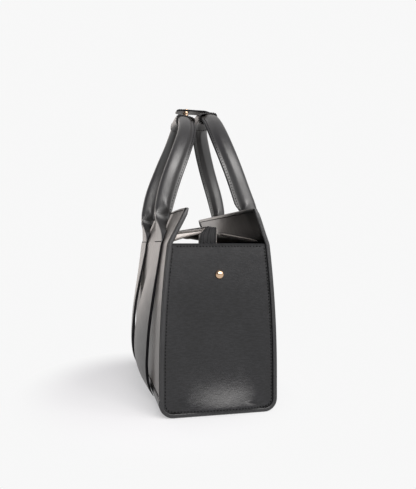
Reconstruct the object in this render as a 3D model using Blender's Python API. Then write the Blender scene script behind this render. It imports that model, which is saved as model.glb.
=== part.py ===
"""Structured tote bag with two folded handles, a snap tab between them and a recessed zip closure.

X runs along the bag's length, Y through its depth with the front at -Y, and Z is up.
The origin is at the middle of the base, on the surface that the bag stands on. Lengths are in metres.
"""

import math

import bmesh
import bpy
from mathutils import Matrix, Vector

# Body
BAG_LENGTH = 0.300
BASE_HALF_DEPTH = 0.0668
GUSSET_HALF_DEPTH = 0.0580
WING_HALF_DEPTH = 0.0407
GUSSET_HEIGHT = 0.189
WALL_HEIGHT = 0.229
CORNER_RADIUS = 0.015
BOW_START = 0.045
BEND_RADIUS = 0.016
CORNER_STEPS = 6
BOW_STEPS = 6
BEND_STEPS = 4

# Sheet thicknesses and clearances
GAP = 0.0003
LEATHER = 0.0022
LINING_THICKNESS = 0.0008
FACING_THICKNESS = 0.0012
BOARD_THICKNESS = 0.0020
BOARD_EDGE_CLEARANCE = 0.0025
BINDING_WIDTH = 0.0045
BINDING_THICKNESS = 0.0026
BINDING_INSET = 0.0005
BASE_SEAM_HEIGHT = 0.020
LINING_TOP = GUSSET_HEIGHT - 0.0045
FACING_BOTTOM = GUSSET_HEIGHT - 0.0040
FACING_TOP_DROP = 0.0006

# Side studs
STUD_HEIGHT = 0.155
STUD_RADIUS = 0.0050
STUD_DOME_HEIGHT = 0.0034
SHANK_RADIUS = 0.0015
WASHER_RADIUS = 0.0045
WASHER_THICKNESS = 0.0010

# Straps on the front and back, with their centre line at STRAP_X
STRAP_X = 0.0835
STRAP_THICKNESS = 0.0024
STITCH_ROW_HEIGHT = 0.1935
# Each row: height, outer edge's X and stand-off, inner edge's X and stand-off, and the front right strap's
# inner stand-off, because that strap bows further out
STRAP_STATIONS = (
    (0.0070, 0.0840, 0.0003, 0.0520, 0.0003, 0.0003),
    (0.0105, 0.0844, 0.0005, 0.0500, 0.0008, 0.0006),
    (0.0150, 0.0850, 0.0015, 0.0485, 0.0027, 0.0025),
    (0.0280, 0.0870, 0.0048, 0.0460, 0.0084, 0.0094),
    (0.0440, 0.0900, 0.0063, 0.0450, 0.0114, 0.0141),
    (0.0610, 0.0950, 0.0064, 0.0450, 0.0119, 0.0159),
    (0.0870, 0.1000, 0.0058, 0.0450, 0.0106, 0.0149),
    (0.1100, 0.1015, 0.0042, 0.0450, 0.0087, 0.0120),
    (0.1380, 0.1060, 0.0024, 0.0445, 0.0053, 0.0067),
    (0.1600, 0.1095, 0.0011, 0.0442, 0.0026, 0.0026),
    (0.1790, 0.1125, 0.0004, 0.0462, 0.0006, 0.0006),
    (0.1860, 0.1136, 0.0003, 0.0485, 0.0003, 0.0003),
    (0.1895, 0.1141, 0.0002, 0.0503, 0.0002, 0.0002),
    (0.1933, 0.1145, 0.0000, 0.0525, 0.0000, 0.0000),
)
STRAP_CROWN = 0.0015
BOWED_STRAP = (-1, 1)

# Folded part of each handle's band, between the stitch row and the padded leg
# Each row: height, front face's half width, half width at the edges, front face's distance from the middle
FOLD_STATIONS = (
    (0.1938, 0.0295, 0.0310, 0.0594),
    (0.1990, 0.0275, 0.0300, 0.0596),
    (0.2060, 0.0210, 0.0270, 0.0604),
    (0.2140, 0.0120, 0.0212, 0.0618),
    (0.2225, 0.0062, 0.0125, 0.0634),
    (0.2295, 0.0048, 0.0055, 0.0641),
)

# Handles
BAND_THICKNESS = 0.00175
SEAM_SLIT = 0.0003
CORE_CLEARANCE = 0.0007
BAND_HALF_WIDTH = 0.0118
BAND_HALF_THICKNESS = 0.0060
SEAM_HALF_THICKNESS = BAND_THICKNESS + SEAM_SLIT / 2
LEG_TOP = 0.270
LEG_HEIGHTS = (0.2345, 0.2420, 0.2560)
ARCH_STEPS = 10
SLOPE_STEP = 0.0005
FRONT_APEX = 0.3553
BACK_APEX = 0.3606
APEX_SCALE = 0.86
APEX_SCALE_SPAN = 0.075
# Each row: height, distance of the handle's centre from the middle of the bag
FRONT_LEAN = (
    (0.2295, 0.0525),
    (0.2345, 0.0518),
    (0.260, 0.0465),
    (0.300, 0.0318),
    (0.330, 0.0204),
    (0.3553, 0.0151),
)
# The back handle is slightly twisted, so its two legs lean by different amounts
BACK_LEAN = (
    (0.2295, 0.0522),
    (0.2345, 0.0504),
    (0.260, 0.0404),
    (0.300, 0.0261),
    (0.330, 0.0182),
    (0.3606, 0.0143),
)
BACK_LEFT_LEAN = (
    (0.2295, 0.0536),
    (0.2345, 0.0535),
    (0.260, 0.0490),
    (0.300, 0.0362),
    (0.330, 0.0250),
    (0.352, 0.0157),
    (0.3606, 0.0143),
)

# Sleeves and snap tab at the top
SLEEVE_HALF_LENGTH = 0.027
SLEEVE_THICKNESS = 0.0017
SLEEVE_POINTS = 16
SLEEVE_SQUARENESS = 0.52
TAB_THICKNESS = 0.0022
TAB_HALF_LENGTH = 0.0105
TAB_TIP = -0.0274
TAB_HINGE = 0.0052
TAB_BASE_END = 0.0235
TAB_CORNER = 0.006
SNAP_X = 0.0052
SNAP_Y = -0.0115
SNAP_CAP_RADIUS = 0.0037
SNAP_CAP_HEIGHT = 0.0016
SNAP_POST_RADIUS = 0.0012
SNAP_SOCKET_RADIUS = 0.0033
SNAP_SOCKET_DEPTH = 0.0018
SNAP_STUD_RADIUS = 0.0034
SNAP_STUD_PLATE = 0.0005
SNAP_NIB_RADIUS = 0.0016
SNAP_NIB_HEIGHT = 0.0006

# Zip closure
FLAP_HALF_LENGTH = 0.126
FLAP_THICKNESS = 0.0024
FLAP_HINGE_HEIGHT = 0.1915
# Points of each flap's middle from its hinge to the zip: Y, height
FRONT_FLAP_LINE = ((-0.0330, 0.1972), (-0.0200, 0.2004), (-0.0112, 0.2030))
BACK_FLAP_LINE = ((0.0400, 0.1942), (0.0230, 0.1972), (0.0085, 0.1998))
RIDGE_Y = -0.0060
RIDGE_HEIGHT = 0.2085
TAPE_THICKNESS = 0.0008
TAPE_OVERLAP = 0.006
TAPE_ELBOW = 0.0014
TEETH_HEIGHT = 0.0016
RAIL_WIDTH = 0.0010
TOOTH_LENGTH = 0.0016
TOOTH_PITCH = 0.004
TOOTH_WIDTH = 0.0016
FRONT_TEETH_START = -0.1150
TEETH_END = 0.1220
TEETH_START = -0.1258
SLIDER_LENGTH = 0.0090
SLIDER_WALL = 0.0009
SLIDER_CLEARANCE = 0.0004
SLIDER_REST_X = -0.1209
PIN_RADIUS = 0.0007
EAR_THICKNESS = 0.0009
EAR_RADIUS = 0.0015
PULL_EYE_RADIUS = 0.0016
PULL_EYE_CLEARANCE = 0.0003
PULL_HALF_WIDTH = 0.0024
PULL_LENGTH = 0.0240
PULL_THICKNESS = 0.0012
TAIL_THICKNESS = 0.0022
# Points of the tail's middle, and its half width: X, height, half width, Y
TAIL_LINE = (
    (0.1224, 0.2062, 0.0030, RIDGE_Y),
    (0.1265, 0.2062, 0.0034, RIDGE_Y),
    (0.1295, 0.2062, 0.0060, -0.0070),
    (0.1340, 0.2055, 0.0085, -0.0090),
    (0.1371, 0.2030, 0.0100, -0.0108),
    (0.1384, 0.1980, 0.0105, -0.0115),
    (0.1381, 0.1900, 0.0105, -0.0115),
    (0.1366, 0.1800, 0.0105, -0.0115),
    (0.1350, 0.1725, 0.0100, -0.0115),
)

END_X = BAG_LENGTH / 2
WRAP_END = END_X - BINDING_THICKNESS - GAP
GUSSET_INNER = WRAP_END - LEATHER
FACING_END = GUSSET_INNER - GAP
LINING_END = GUSSET_INNER - WASHER_THICKNESS - 2 * GAP
LINING_DEPTH = LEATHER + GAP
LINING_LIFT = BOARD_THICKNESS + GAP
FACING_DEPTH = LEATHER + GAP

BOW_RISE = GUSSET_HEIGHT - BOW_START
BOW_DROP = BASE_HALF_DEPTH - GUSSET_HALF_DEPTH
BOW_RADIUS = (BOW_RISE**2 + BOW_DROP**2) / (2 * BOW_DROP)
SIDE_ANGLE = math.asin(BOW_RISE / BOW_RADIUS)
WING_ANGLE = math.atan2(GUSSET_HALF_DEPTH - WING_HALF_DEPTH, WALL_HEIGHT - GUSSET_HEIGHT)
CORNER_Y = BASE_HALF_DEPTH - CORNER_RADIUS


def direction(angle):
    """Unit vector in the YZ plane, from +Y towards +Z."""
    return Vector((math.cos(angle), math.sin(angle)))


def bend_centre():
    """Centre of the arc where the upright wall turns into the wing that leans inward."""
    side, wing = direction(SIDE_ANGLE), direction(WING_ANGLE)
    corner = Vector((GUSSET_HALF_DEPTH, GUSSET_HEIGHT))
    return corner - BEND_RADIUS * (side + wing) / (1 + side.dot(wing))


BEND_CENTRE = bend_centre()


def wall_y(height, depth=0.0):
    """Half depth of the bag at a height, on a surface that lies depth inside the outer one.

    The wall is round at the base, upright up to BOW_START, and then bows inward to its bend.
    """
    bend_low = BEND_CENTRE.y + (BEND_RADIUS - depth) * math.sin(SIDE_ANGLE)
    bend_high = BEND_CENTRE.y + (BEND_RADIUS - depth) * math.sin(WING_ANGLE)
    if height < CORNER_RADIUS:
        drop = height - CORNER_RADIUS
        return CORNER_Y + math.sqrt(max((CORNER_RADIUS - depth) ** 2 - drop * drop, 0.0))
    if height < BOW_START:
        return BASE_HALF_DEPTH - depth
    if height < bend_low:
        rise = height - BOW_START
        return BASE_HALF_DEPTH - BOW_RADIUS + math.sqrt((BOW_RADIUS - depth) ** 2 - rise * rise)
    if height < bend_high:
        rise = height - BEND_CENTRE.y
        return BEND_CENTRE.x + math.sqrt((BEND_RADIUS - depth) ** 2 - rise * rise)
    inset = depth / math.cos(WING_ANGLE)
    return GUSSET_HALF_DEPTH - (height - GUSSET_HEIGHT) * math.tan(WING_ANGLE) - inset


def wall_heights(low, high):
    """Heights that follow the wall from low to high, with extra ones where it is round."""
    bow_end = BEND_CENTRE.y + BEND_RADIUS * math.sin(SIDE_ANGLE)
    bends = [BOW_START + (bow_end - BOW_START) * i / BOW_STEPS for i in range(BOW_STEPS)]
    bends += [
        BEND_CENTRE.y + BEND_RADIUS * math.sin(SIDE_ANGLE + (WING_ANGLE - SIDE_ANGLE) * i / BEND_STEPS)
        for i in range(BEND_STEPS + 1)
    ]
    return [low] + [z for z in bends if low < z < high] + [high]


def wall_profile(low, high, outer, inner):
    """Closed outline of a layer of the back wall in the YZ plane."""
    heights = wall_heights(low, high)
    outside = [(wall_y(z, outer), z) for z in heights]
    inside = [(wall_y(z, inner), z) for z in reversed(heights)]
    return outside + inside


def trough_line(depth, top, lift=0.0):
    """Line from the front wall's top, round the base, to the back wall's top, depth inside the surface."""
    arc = [
        (
            CORNER_Y + (CORNER_RADIUS - depth) * math.cos(angle),
            CORNER_RADIUS + lift + (CORNER_RADIUS - depth) * math.sin(angle),
        )
        for angle in [-math.pi / 2 * i / CORNER_STEPS for i in range(CORNER_STEPS + 1)]
    ]
    side = [(wall_y(z, depth), z) for z in reversed(wall_heights(arc[0][1] + GAP, top))]
    half = side + arc
    return [(-y, z) for y, z in half] + list(reversed(half))


def smooth(table, position):
    """Value at a position of a smooth curve through the rows (position, value) of a table."""
    rows = list(table)
    if position <= rows[0][0]:
        return rows[0][1]
    if position >= rows[-1][0]:
        return rows[-1][1]
    i = max(k for k in range(len(rows) - 1) if rows[k][0] <= position)
    (x0, y0), (x1, y1) = rows[i], rows[i + 1]
    before = rows[i - 1] if i > 0 else rows[i]
    after = rows[i + 2] if i + 2 < len(rows) else rows[i + 1]
    slope0 = (y1 - before[1]) / (x1 - before[0])
    slope1 = (after[1] - y0) / (after[0] - x0)
    span = x1 - x0
    t = (position - x0) / span
    return (
        y0 * (2 * t**3 - 3 * t**2 + 1)
        + span * slope0 * (t**3 - 2 * t**2 + t)
        + y1 * (3 * t**2 - 2 * t**3)
        + span * slope1 * (t**3 - t**2)
    )


def offset_line(points, distance):
    """An open line in a plane, moved to its left by a distance, with mitred corners."""
    moved = []
    for i, point in enumerate(points):
        normals = []
        for a, b in ((i - 1, i), (i, i + 1)):
            if a >= 0 and b < len(points):
                step = Vector(points[b]) - Vector(points[a])
                normals.append(Vector((-step.y, step.x)).normalized())
        normal = sum(normals, Vector((0.0, 0.0))).normalized()
        moved.append(Vector(point) + normal * distance / max(normal.dot(normals[0]), 0.5))
    return moved


def clear_scene():
    for old in list(bpy.data.objects):
        bpy.data.objects.remove(old, do_unlink=True)


def make_material(name, colour, roughness, metallic=0.0):
    material = bpy.data.materials.new(name)
    material.use_nodes = True
    shader = material.node_tree.nodes["Principled BSDF"]
    shader.inputs["Base Color"].default_value = (*colour, 1.0)
    shader.inputs["Roughness"].default_value = roughness
    shader.inputs["Metallic"].default_value = metallic
    return material


def make_object(name, mesh, look, origin=(0.0, 0.0, 0.0)):
    """An object with a mesh given in the bag's own frame, whose origin lies at the point given."""
    colour, roughness, metallic = look
    mesh.transform(Matrix.Translation(-Vector(origin)))
    mesh.materials.append(make_material(name, colour, roughness, metallic))
    made = bpy.data.objects.new(name, mesh)
    made.location = origin
    bpy.context.scene.collection.objects.link(made)
    return made


def split_caps(bm, caps):
    """Splits flat faces with many corners into triangles."""
    bm.normal_update()
    bmesh.ops.triangulate(bm, faces=caps, ngon_method="EAR_CLIP")


def tidy_mesh(name, bm, smooth_angle=None):
    bmesh.ops.recalc_face_normals(bm, faces=bm.faces)
    mesh = bpy.data.meshes.new(name)
    bm.to_mesh(mesh)
    bm.free()
    if smooth_angle is not None:
        mesh.shade_smooth()
        mesh.set_sharp_from_angle(angle=math.radians(smooth_angle))
    return mesh


def prism(name, outline, axis, start, end):
    """A closed outline in the plane across an axis, carried along it from start to end."""

    def place(point, along):
        first, second = point
        if axis == "X":
            return Vector((along, first, second))
        if axis == "Y":
            return Vector((first, along, second))
        return Vector((first, second, along))

    bm = bmesh.new()
    ring0 = [bm.verts.new(place(p, start)) for p in outline]
    ring1 = [bm.verts.new(place(p, end)) for p in outline]
    count = len(outline)
    for i in range(count):
        j = (i + 1) % count
        bm.faces.new((ring0[i], ring0[j], ring1[j], ring1[i]))
    split_caps(bm, [bm.faces.new(ring0), bm.faces.new(ring1)])
    return tidy_mesh(name, bm)


def loft(name, rings, smooth_angle=40):
    """A solid through rings of points, closed at both ends."""
    bm = bmesh.new()
    made = [[bm.verts.new(p) for p in ring] for ring in rings]
    for low, high in zip(made, made[1:]):
        for i in range(len(low)):
            j = (i + 1) % len(low)
            bm.faces.new((low[i], low[j], high[j], high[i]))
    split_caps(bm, [bm.faces.new(made[0]), bm.faces.new(made[-1])])
    return tidy_mesh(name, bm, smooth_angle)


def tube(name, outer_rings, inner_rings, smooth_angle=40):
    """A tube between outer and inner rings of points, open at both ends."""
    bm = bmesh.new()
    outer = [[bm.verts.new(p) for p in ring] for ring in outer_rings]
    inner = [[bm.verts.new(p) for p in ring] for ring in inner_rings]
    count = len(outer[0])
    for skin in (outer, inner):
        for low, high in zip(skin, skin[1:]):
            for i in range(count):
                j = (i + 1) % count
                bm.faces.new((low[i], low[j], high[j], high[i]))
    for k in (0, -1):
        for i in range(count):
            j = (i + 1) % count
            bm.faces.new((outer[k][i], outer[k][j], inner[k][j], inner[k][i]))
    return tidy_mesh(name, bm, smooth_angle)


def turned(name, profile, centre, axis, segments=20):
    """A solid turned from a profile of (radius, height) rows about an axis through a centre."""
    turn = {"X": Matrix.Rotation(math.pi / 2, 4, "Y"), "Z": Matrix.Identity(4)}[axis]
    rings = []
    for radius, height in profile:
        ring = []
        for i in range(segments):
            angle = 2 * math.pi * i / segments
            point = Vector((radius * math.cos(angle), radius * math.sin(angle), height))
            ring.append(turn @ point + Vector(centre))
        rings.append(ring)
    return loft(name, rings)


def cut(target, cutter):
    """Cuts a shape from a solid, and keeps the cutter out of the model."""
    cutter.hide_render = True
    cutter.display_type = "WIRE"
    modifier = target.modifiers.new("Cut", "BOOLEAN")
    modifier.operation = "DIFFERENCE"
    modifier.object = cutter


LEATHER_LOOK = ((0.035, 0.033, 0.034), 0.42, 0.0)
EDGE_LOOK = ((0.02, 0.02, 0.02), 0.5, 0.0)
LINING_LOOK = ((0.02, 0.02, 0.022), 0.85, 0.0)
BOARD_LOOK = ((0.12, 0.11, 0.10), 0.8, 0.0)
GOLD_LOOK = ((0.80, 0.58, 0.36), 0.22, 1.0)
TAPE_LOOK = ((0.015, 0.015, 0.016), 0.8, 0.0)


def make_walls():
    top = WALL_HEIGHT
    for name, facing, sign in (("front_panel", "front_facing", -1), ("back_panel", "back_facing", 1)):
        outline = [(sign * y, z) for y, z in wall_profile(BASE_SEAM_HEIGHT, top, 0.0, LEATHER)]
        make_object(name, prism(name, outline, "X", -WRAP_END, WRAP_END), LEATHER_LOOK)
        inner = FACING_DEPTH + FACING_THICKNESS
        outline = [
            (sign * y, z) for y, z in wall_profile(FACING_BOTTOM, top - FACING_TOP_DROP, FACING_DEPTH, inner)
        ]
        make_object(facing, prism(facing, outline, "X", -FACING_END, FACING_END), LEATHER_LOOK)


def make_base():
    top = BASE_SEAM_HEIGHT - GAP
    outline = trough_line(0.0, top) + list(reversed(trough_line(LEATHER, top)))
    make_object("base_panel", prism("base_panel", outline, "X", -WRAP_END, WRAP_END), LEATHER_LOOK)
    half = CORNER_Y - BOARD_EDGE_CLEARANCE
    low = LEATHER + GAP
    outline = [(-half, low), (half, low), (half, low + BOARD_THICKNESS), (-half, low + BOARD_THICKNESS)]
    end = GUSSET_INNER - BOARD_EDGE_CLEARANCE
    make_object("base_board", prism("base_board", outline, "X", -end, end), BOARD_LOOK)


def make_lining():
    """An open-topped bag: an outer and an inner trough with ends, joined round the rim."""
    inner_depth = LINING_DEPTH + LINING_THICKNESS
    skins = (
        (trough_line(LINING_DEPTH, LINING_TOP, LINING_LIFT), LINING_END),
        (trough_line(inner_depth, LINING_TOP, LINING_LIFT), LINING_END - LINING_THICKNESS),
    )
    bm = bmesh.new()
    rims = []
    for line, end in skins:
        ends = [[bm.verts.new((x, y, z)) for y, z in line] for x in (-end, end)]
        for i in range(len(line) - 1):
            bm.faces.new((ends[0][i], ends[0][i + 1], ends[1][i + 1], ends[1][i]))
        split_caps(bm, [bm.faces.new(verts) for verts in ends])
        rims.append((ends[0][0], ends[0][-1], ends[1][-1], ends[1][0]))
    for i in range(4):
        j = (i + 1) % 4
        bm.faces.new((rims[0][i], rims[0][j], rims[1][j], rims[1][i]))
    make_object("lining", tidy_mesh("lining", bm), LINING_LOOK)


def make_gussets():
    for name, side in (("right", 1), ("left", -1)):
        line = trough_line(LEATHER + GAP, GUSSET_HEIGHT)
        inside, outside = side * GUSSET_INNER, side * WRAP_END
        gusset_name = name + "_gusset"
        gusset = make_object(gusset_name, prism(gusset_name, line, "X", inside, outside), LEATHER_LOOK)
        hole = SHANK_RADIUS + GAP
        rows = ((hole, side * (GUSSET_INNER - LEATHER)), (hole, side * (WRAP_END + LEATHER)))
        cutter_name = name + "_stud_hole"
        cutter = make_object(cutter_name, turned(cutter_name, rows, (0, 0, STUD_HEIGHT), "X"), EDGE_LOOK)
        cut(gusset, cutter)

        binding = name + "_edge_binding"
        outer = trough_line(BINDING_INSET, WALL_HEIGHT)
        inner = trough_line(BINDING_INSET + BINDING_WIDTH, WALL_HEIGHT)
        outline = outer + list(reversed(inner))
        near, far = side * (WRAP_END + GAP), side * END_X
        make_object(binding, prism(binding, outline, "X", near, far), EDGE_LOOK)

        make_side_stud(name, side)


def circle_x(x, radius, points=20):
    """Ring of points about the side studs' axis."""
    angles = [2 * math.pi * i / points for i in range(points)]
    return [Vector((x, radius * math.cos(a), STUD_HEIGHT + radius * math.sin(a))) for a in angles]


def make_side_stud(name, side):
    face = WRAP_END + GAP
    dome_steps = 5
    dome = [
        (STUD_RADIUS * math.cos(a), face + STUD_DOME_HEIGHT * math.sin(a))
        for a in [math.radians(82) * i / dome_steps for i in range(dome_steps + 1)]
    ]
    shank_end = GUSSET_INNER - GAP - WASHER_THICKNESS
    rows = [(SHANK_RADIUS, shank_end), (SHANK_RADIUS, face), *dome]
    stud = name + "_side_stud"
    profile = [(radius, side * x) for radius, x in rows]
    make_object(stud, turned(stud, profile, (0, 0, STUD_HEIGHT), "X"), GOLD_LOOK)
    washer = name + "_stud_washer"
    ends = [side * (GUSSET_INNER - GAP), side * shank_end]
    outer = [circle_x(x, WASHER_RADIUS) for x in ends]
    inner = [circle_x(x, SHANK_RADIUS + GAP) for x in ends]
    make_object(washer, tube(washer, outer, inner), GOLD_LOOK)


def strap_rings(front, side):
    """Rings of a strap, from the base to the stitch row. front is -1 at the front and 1 at the back."""
    rings = []
    for height, outer_x, outer_off, inner_x, even_off, bowed_off in STRAP_STATIONS:
        inner_off = bowed_off if (front, side) == BOWED_STRAP else even_off
        surface = wall_y(height) + GAP
        crown = STRAP_CROWN * min(1.0, (outer_off + inner_off) / 0.01)
        middle = (outer_x + inner_x) / 2, (outer_off + inner_off) / 2 + crown
        edge_rows = (outer_x, outer_off), middle, (inner_x, inner_off)
        under = [(x, surface + off) for x, off in edge_rows]
        over = [(x, y + STRAP_THICKNESS) for x, y in reversed(under)]
        rings.append([Vector((side * x, front * y, height)) for x, y in under + over])
    return rings


def make_straps():
    for face, front in (("front", -1), ("back", 1)):
        for hand, side in (("right", 1), ("left", -1)):
            name = f"{face}_{hand}_strap"
            make_object(name, loft(name, strap_rings(front, side)), LEATHER_LOOK)


def folded_half(scale):
    """Outer skin of half of the folded band, from its edge at the seam to its fold: (sideways, outward)."""
    width, thick = BAND_HALF_WIDTH * scale, BAND_HALF_THICKNESS * scale
    seam = SEAM_HALF_THICKNESS
    return [
        (seam, -width),
        (seam, -0.66 * width),
        (0.80 * thick, -0.30 * width),
        (thick, 0.18 * width),
        (0.68 * thick, 0.76 * width),
    ]


def fold_end(scale):
    return (0.0, BAND_HALF_WIDTH * scale)


def band_ring(half, fold):
    """Ring of the band's section: out along its outer skin and back along its inner skin."""
    outer = [Vector(p) for p in half] + [Vector(fold)] + [Vector((-x, y)) for x, y in reversed(half)]
    inner = offset_line(outer, BAND_THICKNESS)
    return outer + list(reversed(inner))


def tent_half(half_face, half_edge, face, edge):
    """Half section of the band where it opens out: its edge, two points on its side and its front face."""
    start, corner = Vector((half_edge, edge)), Vector((half_face, face))
    third = start.lerp(corner, 0.40)
    beyond = start.lerp(corner, 0.78)
    return [tuple(start), tuple(third), tuple(beyond), tuple(corner), (half_face / 2, face)]


def handle_scale(x):
    """Share of the leg's section that is left at a distance x from the middle of the handle."""
    t = min(abs(x) / APEX_SCALE_SPAN, 1.0)
    return APEX_SCALE + (1 - APEX_SCALE) * t * t * (3 - 2 * t)


def handle_path(leans, apex):
    """Points of the handle's centre from one leg to the other: (X, distance from the bag's middle, height).

    leans holds the right and the left leg's table.
    """
    half = [(STRAP_X, z) for z in LEG_HEIGHTS]
    for i in range(ARCH_STEPS + 1):
        angle = math.pi / 2 * i / ARCH_STEPS
        half.append((STRAP_X * math.cos(angle), LEG_TOP + (apex - LEG_TOP) * math.sin(angle)))
    whole = half + [(-x, z) for x, z in reversed(half[:-1])]
    return [Vector((x, smooth(leans[x < 0], z), z)) for x, z in whole]


def handle_frames(leans, apex, front):
    """For each point of the path: its place, the outward direction and the sideways direction."""
    path = handle_path(leans, apex)
    frames = []
    for i, point in enumerate(path):
        before, after = path[max(i - 1, 0)], path[min(i + 1, len(path) - 1)]
        lean = leans[point.x < 0]
        low, high = max(point.z - SLOPE_STEP, lean[0][0]), min(point.z + SLOPE_STEP, lean[-1][0])
        slope = (smooth(lean, high) - smooth(lean, low)) / (high - low)
        outward = Vector((0.0, 1.0, -slope)).normalized()
        sideways = (after - before).normalized().cross(outward)
        place = Vector((point.x, front * point.y, point.z))
        outward = Vector((outward.x, front * outward.y, outward.z))
        sideways = Vector((sideways.x, front * sideways.y, sideways.z))
        frames.append((place, outward, sideways))
    return frames


def band_rings(leans, apex, front):
    """Rings of a handle's band, from one stitch row over the handle to the other."""
    legs = []
    for height, half_face, half_edge, face in FOLD_STATIONS:
        edge = wall_y(min(height, WALL_HEIGHT)) + GAP + BAND_THICKNESS
        ring = band_ring(tent_half(half_face, half_edge, face, edge), (0.0, face))
        legs.append([Vector((p.x, front * p.y, height)) for p in ring])
    rings = [[Vector((STRAP_X + p.x, p.y, p.z)) for p in ring] for ring in legs]
    for place, outward, sideways in handle_frames(leans, apex, front):
        scale = handle_scale(place.x)
        ring = band_ring(folded_half(scale), fold_end(scale))
        rings.append([place - sideways * p.x + outward * p.y for p in ring])
    rings += [[Vector((-STRAP_X - p.x, p.y, p.z)) for p in ring] for ring in reversed(legs)]
    return rings


def core_rings(leans, apex, front):
    """Rings of the padding inside a handle."""
    rings = []
    for place, outward, sideways in handle_frames(leans, apex, front):
        scale = handle_scale(place.x)
        half = folded_half(scale)
        skin = half[1:] + [fold_end(scale)] + [(-x, y) for x, y in reversed(half[1:])]
        inside = offset_line(skin, BAND_THICKNESS + CORE_CLEARANCE)
        ring = inside[1:-1]
        rings.append([place - sideways * p.x + outward * p.y for p in ring])
    return rings


def sleeve_rings(leans, apex, front, margin):
    """Rings round the top of a handle, a margin outside its band."""
    rings = []
    for place, outward, sideways in handle_frames(leans, apex, front):
        if abs(place.x) > SLEEVE_HALF_LENGTH:
            continue
        scale = handle_scale(place.x)
        width, thick = BAND_HALF_WIDTH * scale + margin, BAND_HALF_THICKNESS * scale + margin
        ring = []
        for k in range(SLEEVE_POINTS):
            angle = 2 * math.pi * (k + 0.5) / SLEEVE_POINTS
            c, s = math.cos(angle), math.sin(angle)
            across = math.copysign(abs(c) ** SLEEVE_SQUARENESS, c) * width
            through = math.copysign(abs(s) ** SLEEVE_SQUARENESS, s) * thick
            ring.append(place + outward * across - sideways * through)
        rings.append(ring)
    return rings


def handle_axis(front):
    """Point on the line that a handle swings about: the band's outer face at the stitch row."""
    return Vector((0.0, front * FOLD_STATIONS[0][3], STITCH_ROW_HEIGHT))


def make_handles():
    shapes = (
        ("front", (FRONT_LEAN, FRONT_LEAN), FRONT_APEX, -1),
        ("back", (BACK_LEAN, BACK_LEFT_LEAN), BACK_APEX, 1),
    )
    for face, leans, apex, front in shapes:
        axis = handle_axis(front)
        band, core, sleeve = f"{face}_handle_band", f"{face}_handle_core", f"{face}_grip_sleeve"
        make_object(band, loft(band, band_rings(leans, apex, front)), LEATHER_LOOK, axis)
        make_object(core, loft(core, core_rings(leans, apex, front)), TAPE_LOOK, axis)
        outer = sleeve_rings(leans, apex, front, GAP + SLEEVE_THICKNESS)
        inner = sleeve_rings(leans, apex, front, GAP)
        make_object(sleeve, tube(sleeve, outer, inner), LEATHER_LOOK, axis)


def sleeve_top(leans, apex, front):
    """Height of the highest point of a handle's sleeve."""
    rings = sleeve_rings(leans, apex, front, GAP + SLEEVE_THICKNESS)
    return max(point.z for ring in rings for point in ring)


def rounded_end(half_length, tip, root, radius, steps=4):
    """Outline in the XY plane of a tab whose far corners are round."""
    points = [(half_length, root)]
    for turn in (0, 1):
        sign = 1 - 2 * turn
        centre = Vector((sign * (half_length - radius), tip + radius))
        for i in range(steps + 1):
            angle = -math.pi / 2 * (turn + i / steps)
            points.append((centre.x + radius * math.cos(angle), centre.y + radius * math.sin(angle)))
    points.append((-half_length, root))
    return points


def make_tab():
    tab_low = sleeve_top((BACK_LEAN, BACK_LEFT_LEAN), BACK_APEX, 1) + GAP
    tab_top = tab_low + TAB_THICKNESS
    hinge = Vector((0.0, TAB_HINGE, tab_top))
    outline = rounded_end(TAB_HALF_LENGTH, TAB_TIP, TAB_HINGE, TAB_CORNER)
    tab = make_object("snap_tab", prism("snap_tab", outline, "Z", tab_low, tab_top), LEATHER_LOOK, hinge)
    low = TAB_HINGE + GAP
    flat = [(-TAB_HALF_LENGTH, low), (TAB_HALF_LENGTH, low)]
    flat += [(TAB_HALF_LENGTH, TAB_BASE_END), (-TAB_HALF_LENGTH, TAB_BASE_END)]
    make_object("tab_base", prism("tab_base", flat, "Z", tab_low, tab_top), LEATHER_LOOK, handle_axis(1))
    seat = sleeve_top((FRONT_LEAN, FRONT_LEAN), FRONT_APEX, -1) + GAP
    for hand, side in (("right", 1), ("left", -1)):
        x = side * SNAP_X
        hole_name = f"{hand}_snap_hole"
        hole_radius = SNAP_POST_RADIUS + GAP
        rows = ((hole_radius, tab_low - LEATHER), (hole_radius, tab_top + LEATHER))
        hole = make_object(hole_name, turned(hole_name, rows, (x, SNAP_Y, 0), "Z", 16), EDGE_LOOK, hinge)
        cut(tab, hole)
        cap_low = tab_top + GAP
        rows = (
            (SNAP_POST_RADIUS, tab_low),
            (SNAP_POST_RADIUS, cap_low),
            (SNAP_CAP_RADIUS, cap_low),
            (SNAP_CAP_RADIUS * 0.92, cap_low + SNAP_CAP_HEIGHT * 0.6),
            (SNAP_CAP_RADIUS * 0.45, cap_low + SNAP_CAP_HEIGHT),
        )
        cap = f"{hand}_snap_cap"
        make_object(cap, turned(cap, rows, (x, SNAP_Y, 0), "Z", 16), GOLD_LOOK, hinge)
        socket_top = tab_low - GAP
        rows = (
            (SNAP_SOCKET_RADIUS * 0.8, socket_top - SNAP_SOCKET_DEPTH),
            (SNAP_SOCKET_RADIUS, socket_top - SNAP_SOCKET_DEPTH * 0.7),
            (SNAP_SOCKET_RADIUS, socket_top),
        )
        socket = f"{hand}_snap_socket"
        make_object(socket, turned(socket, rows, (x, SNAP_Y, 0), "Z", 16), GOLD_LOOK, hinge)
        plate_top = seat + SNAP_STUD_PLATE
        rows = (
            (SNAP_STUD_RADIUS, seat),
            (SNAP_STUD_RADIUS, plate_top),
            (SNAP_NIB_RADIUS, plate_top),
            (SNAP_NIB_RADIUS * 0.8, plate_top + SNAP_NIB_HEIGHT),
        )
        stud = f"{hand}_snap_stud"
        make_object(stud, turned(stud, rows, (x, SNAP_Y, 0), "Z", 16), GOLD_LOOK, handle_axis(-1))


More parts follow.
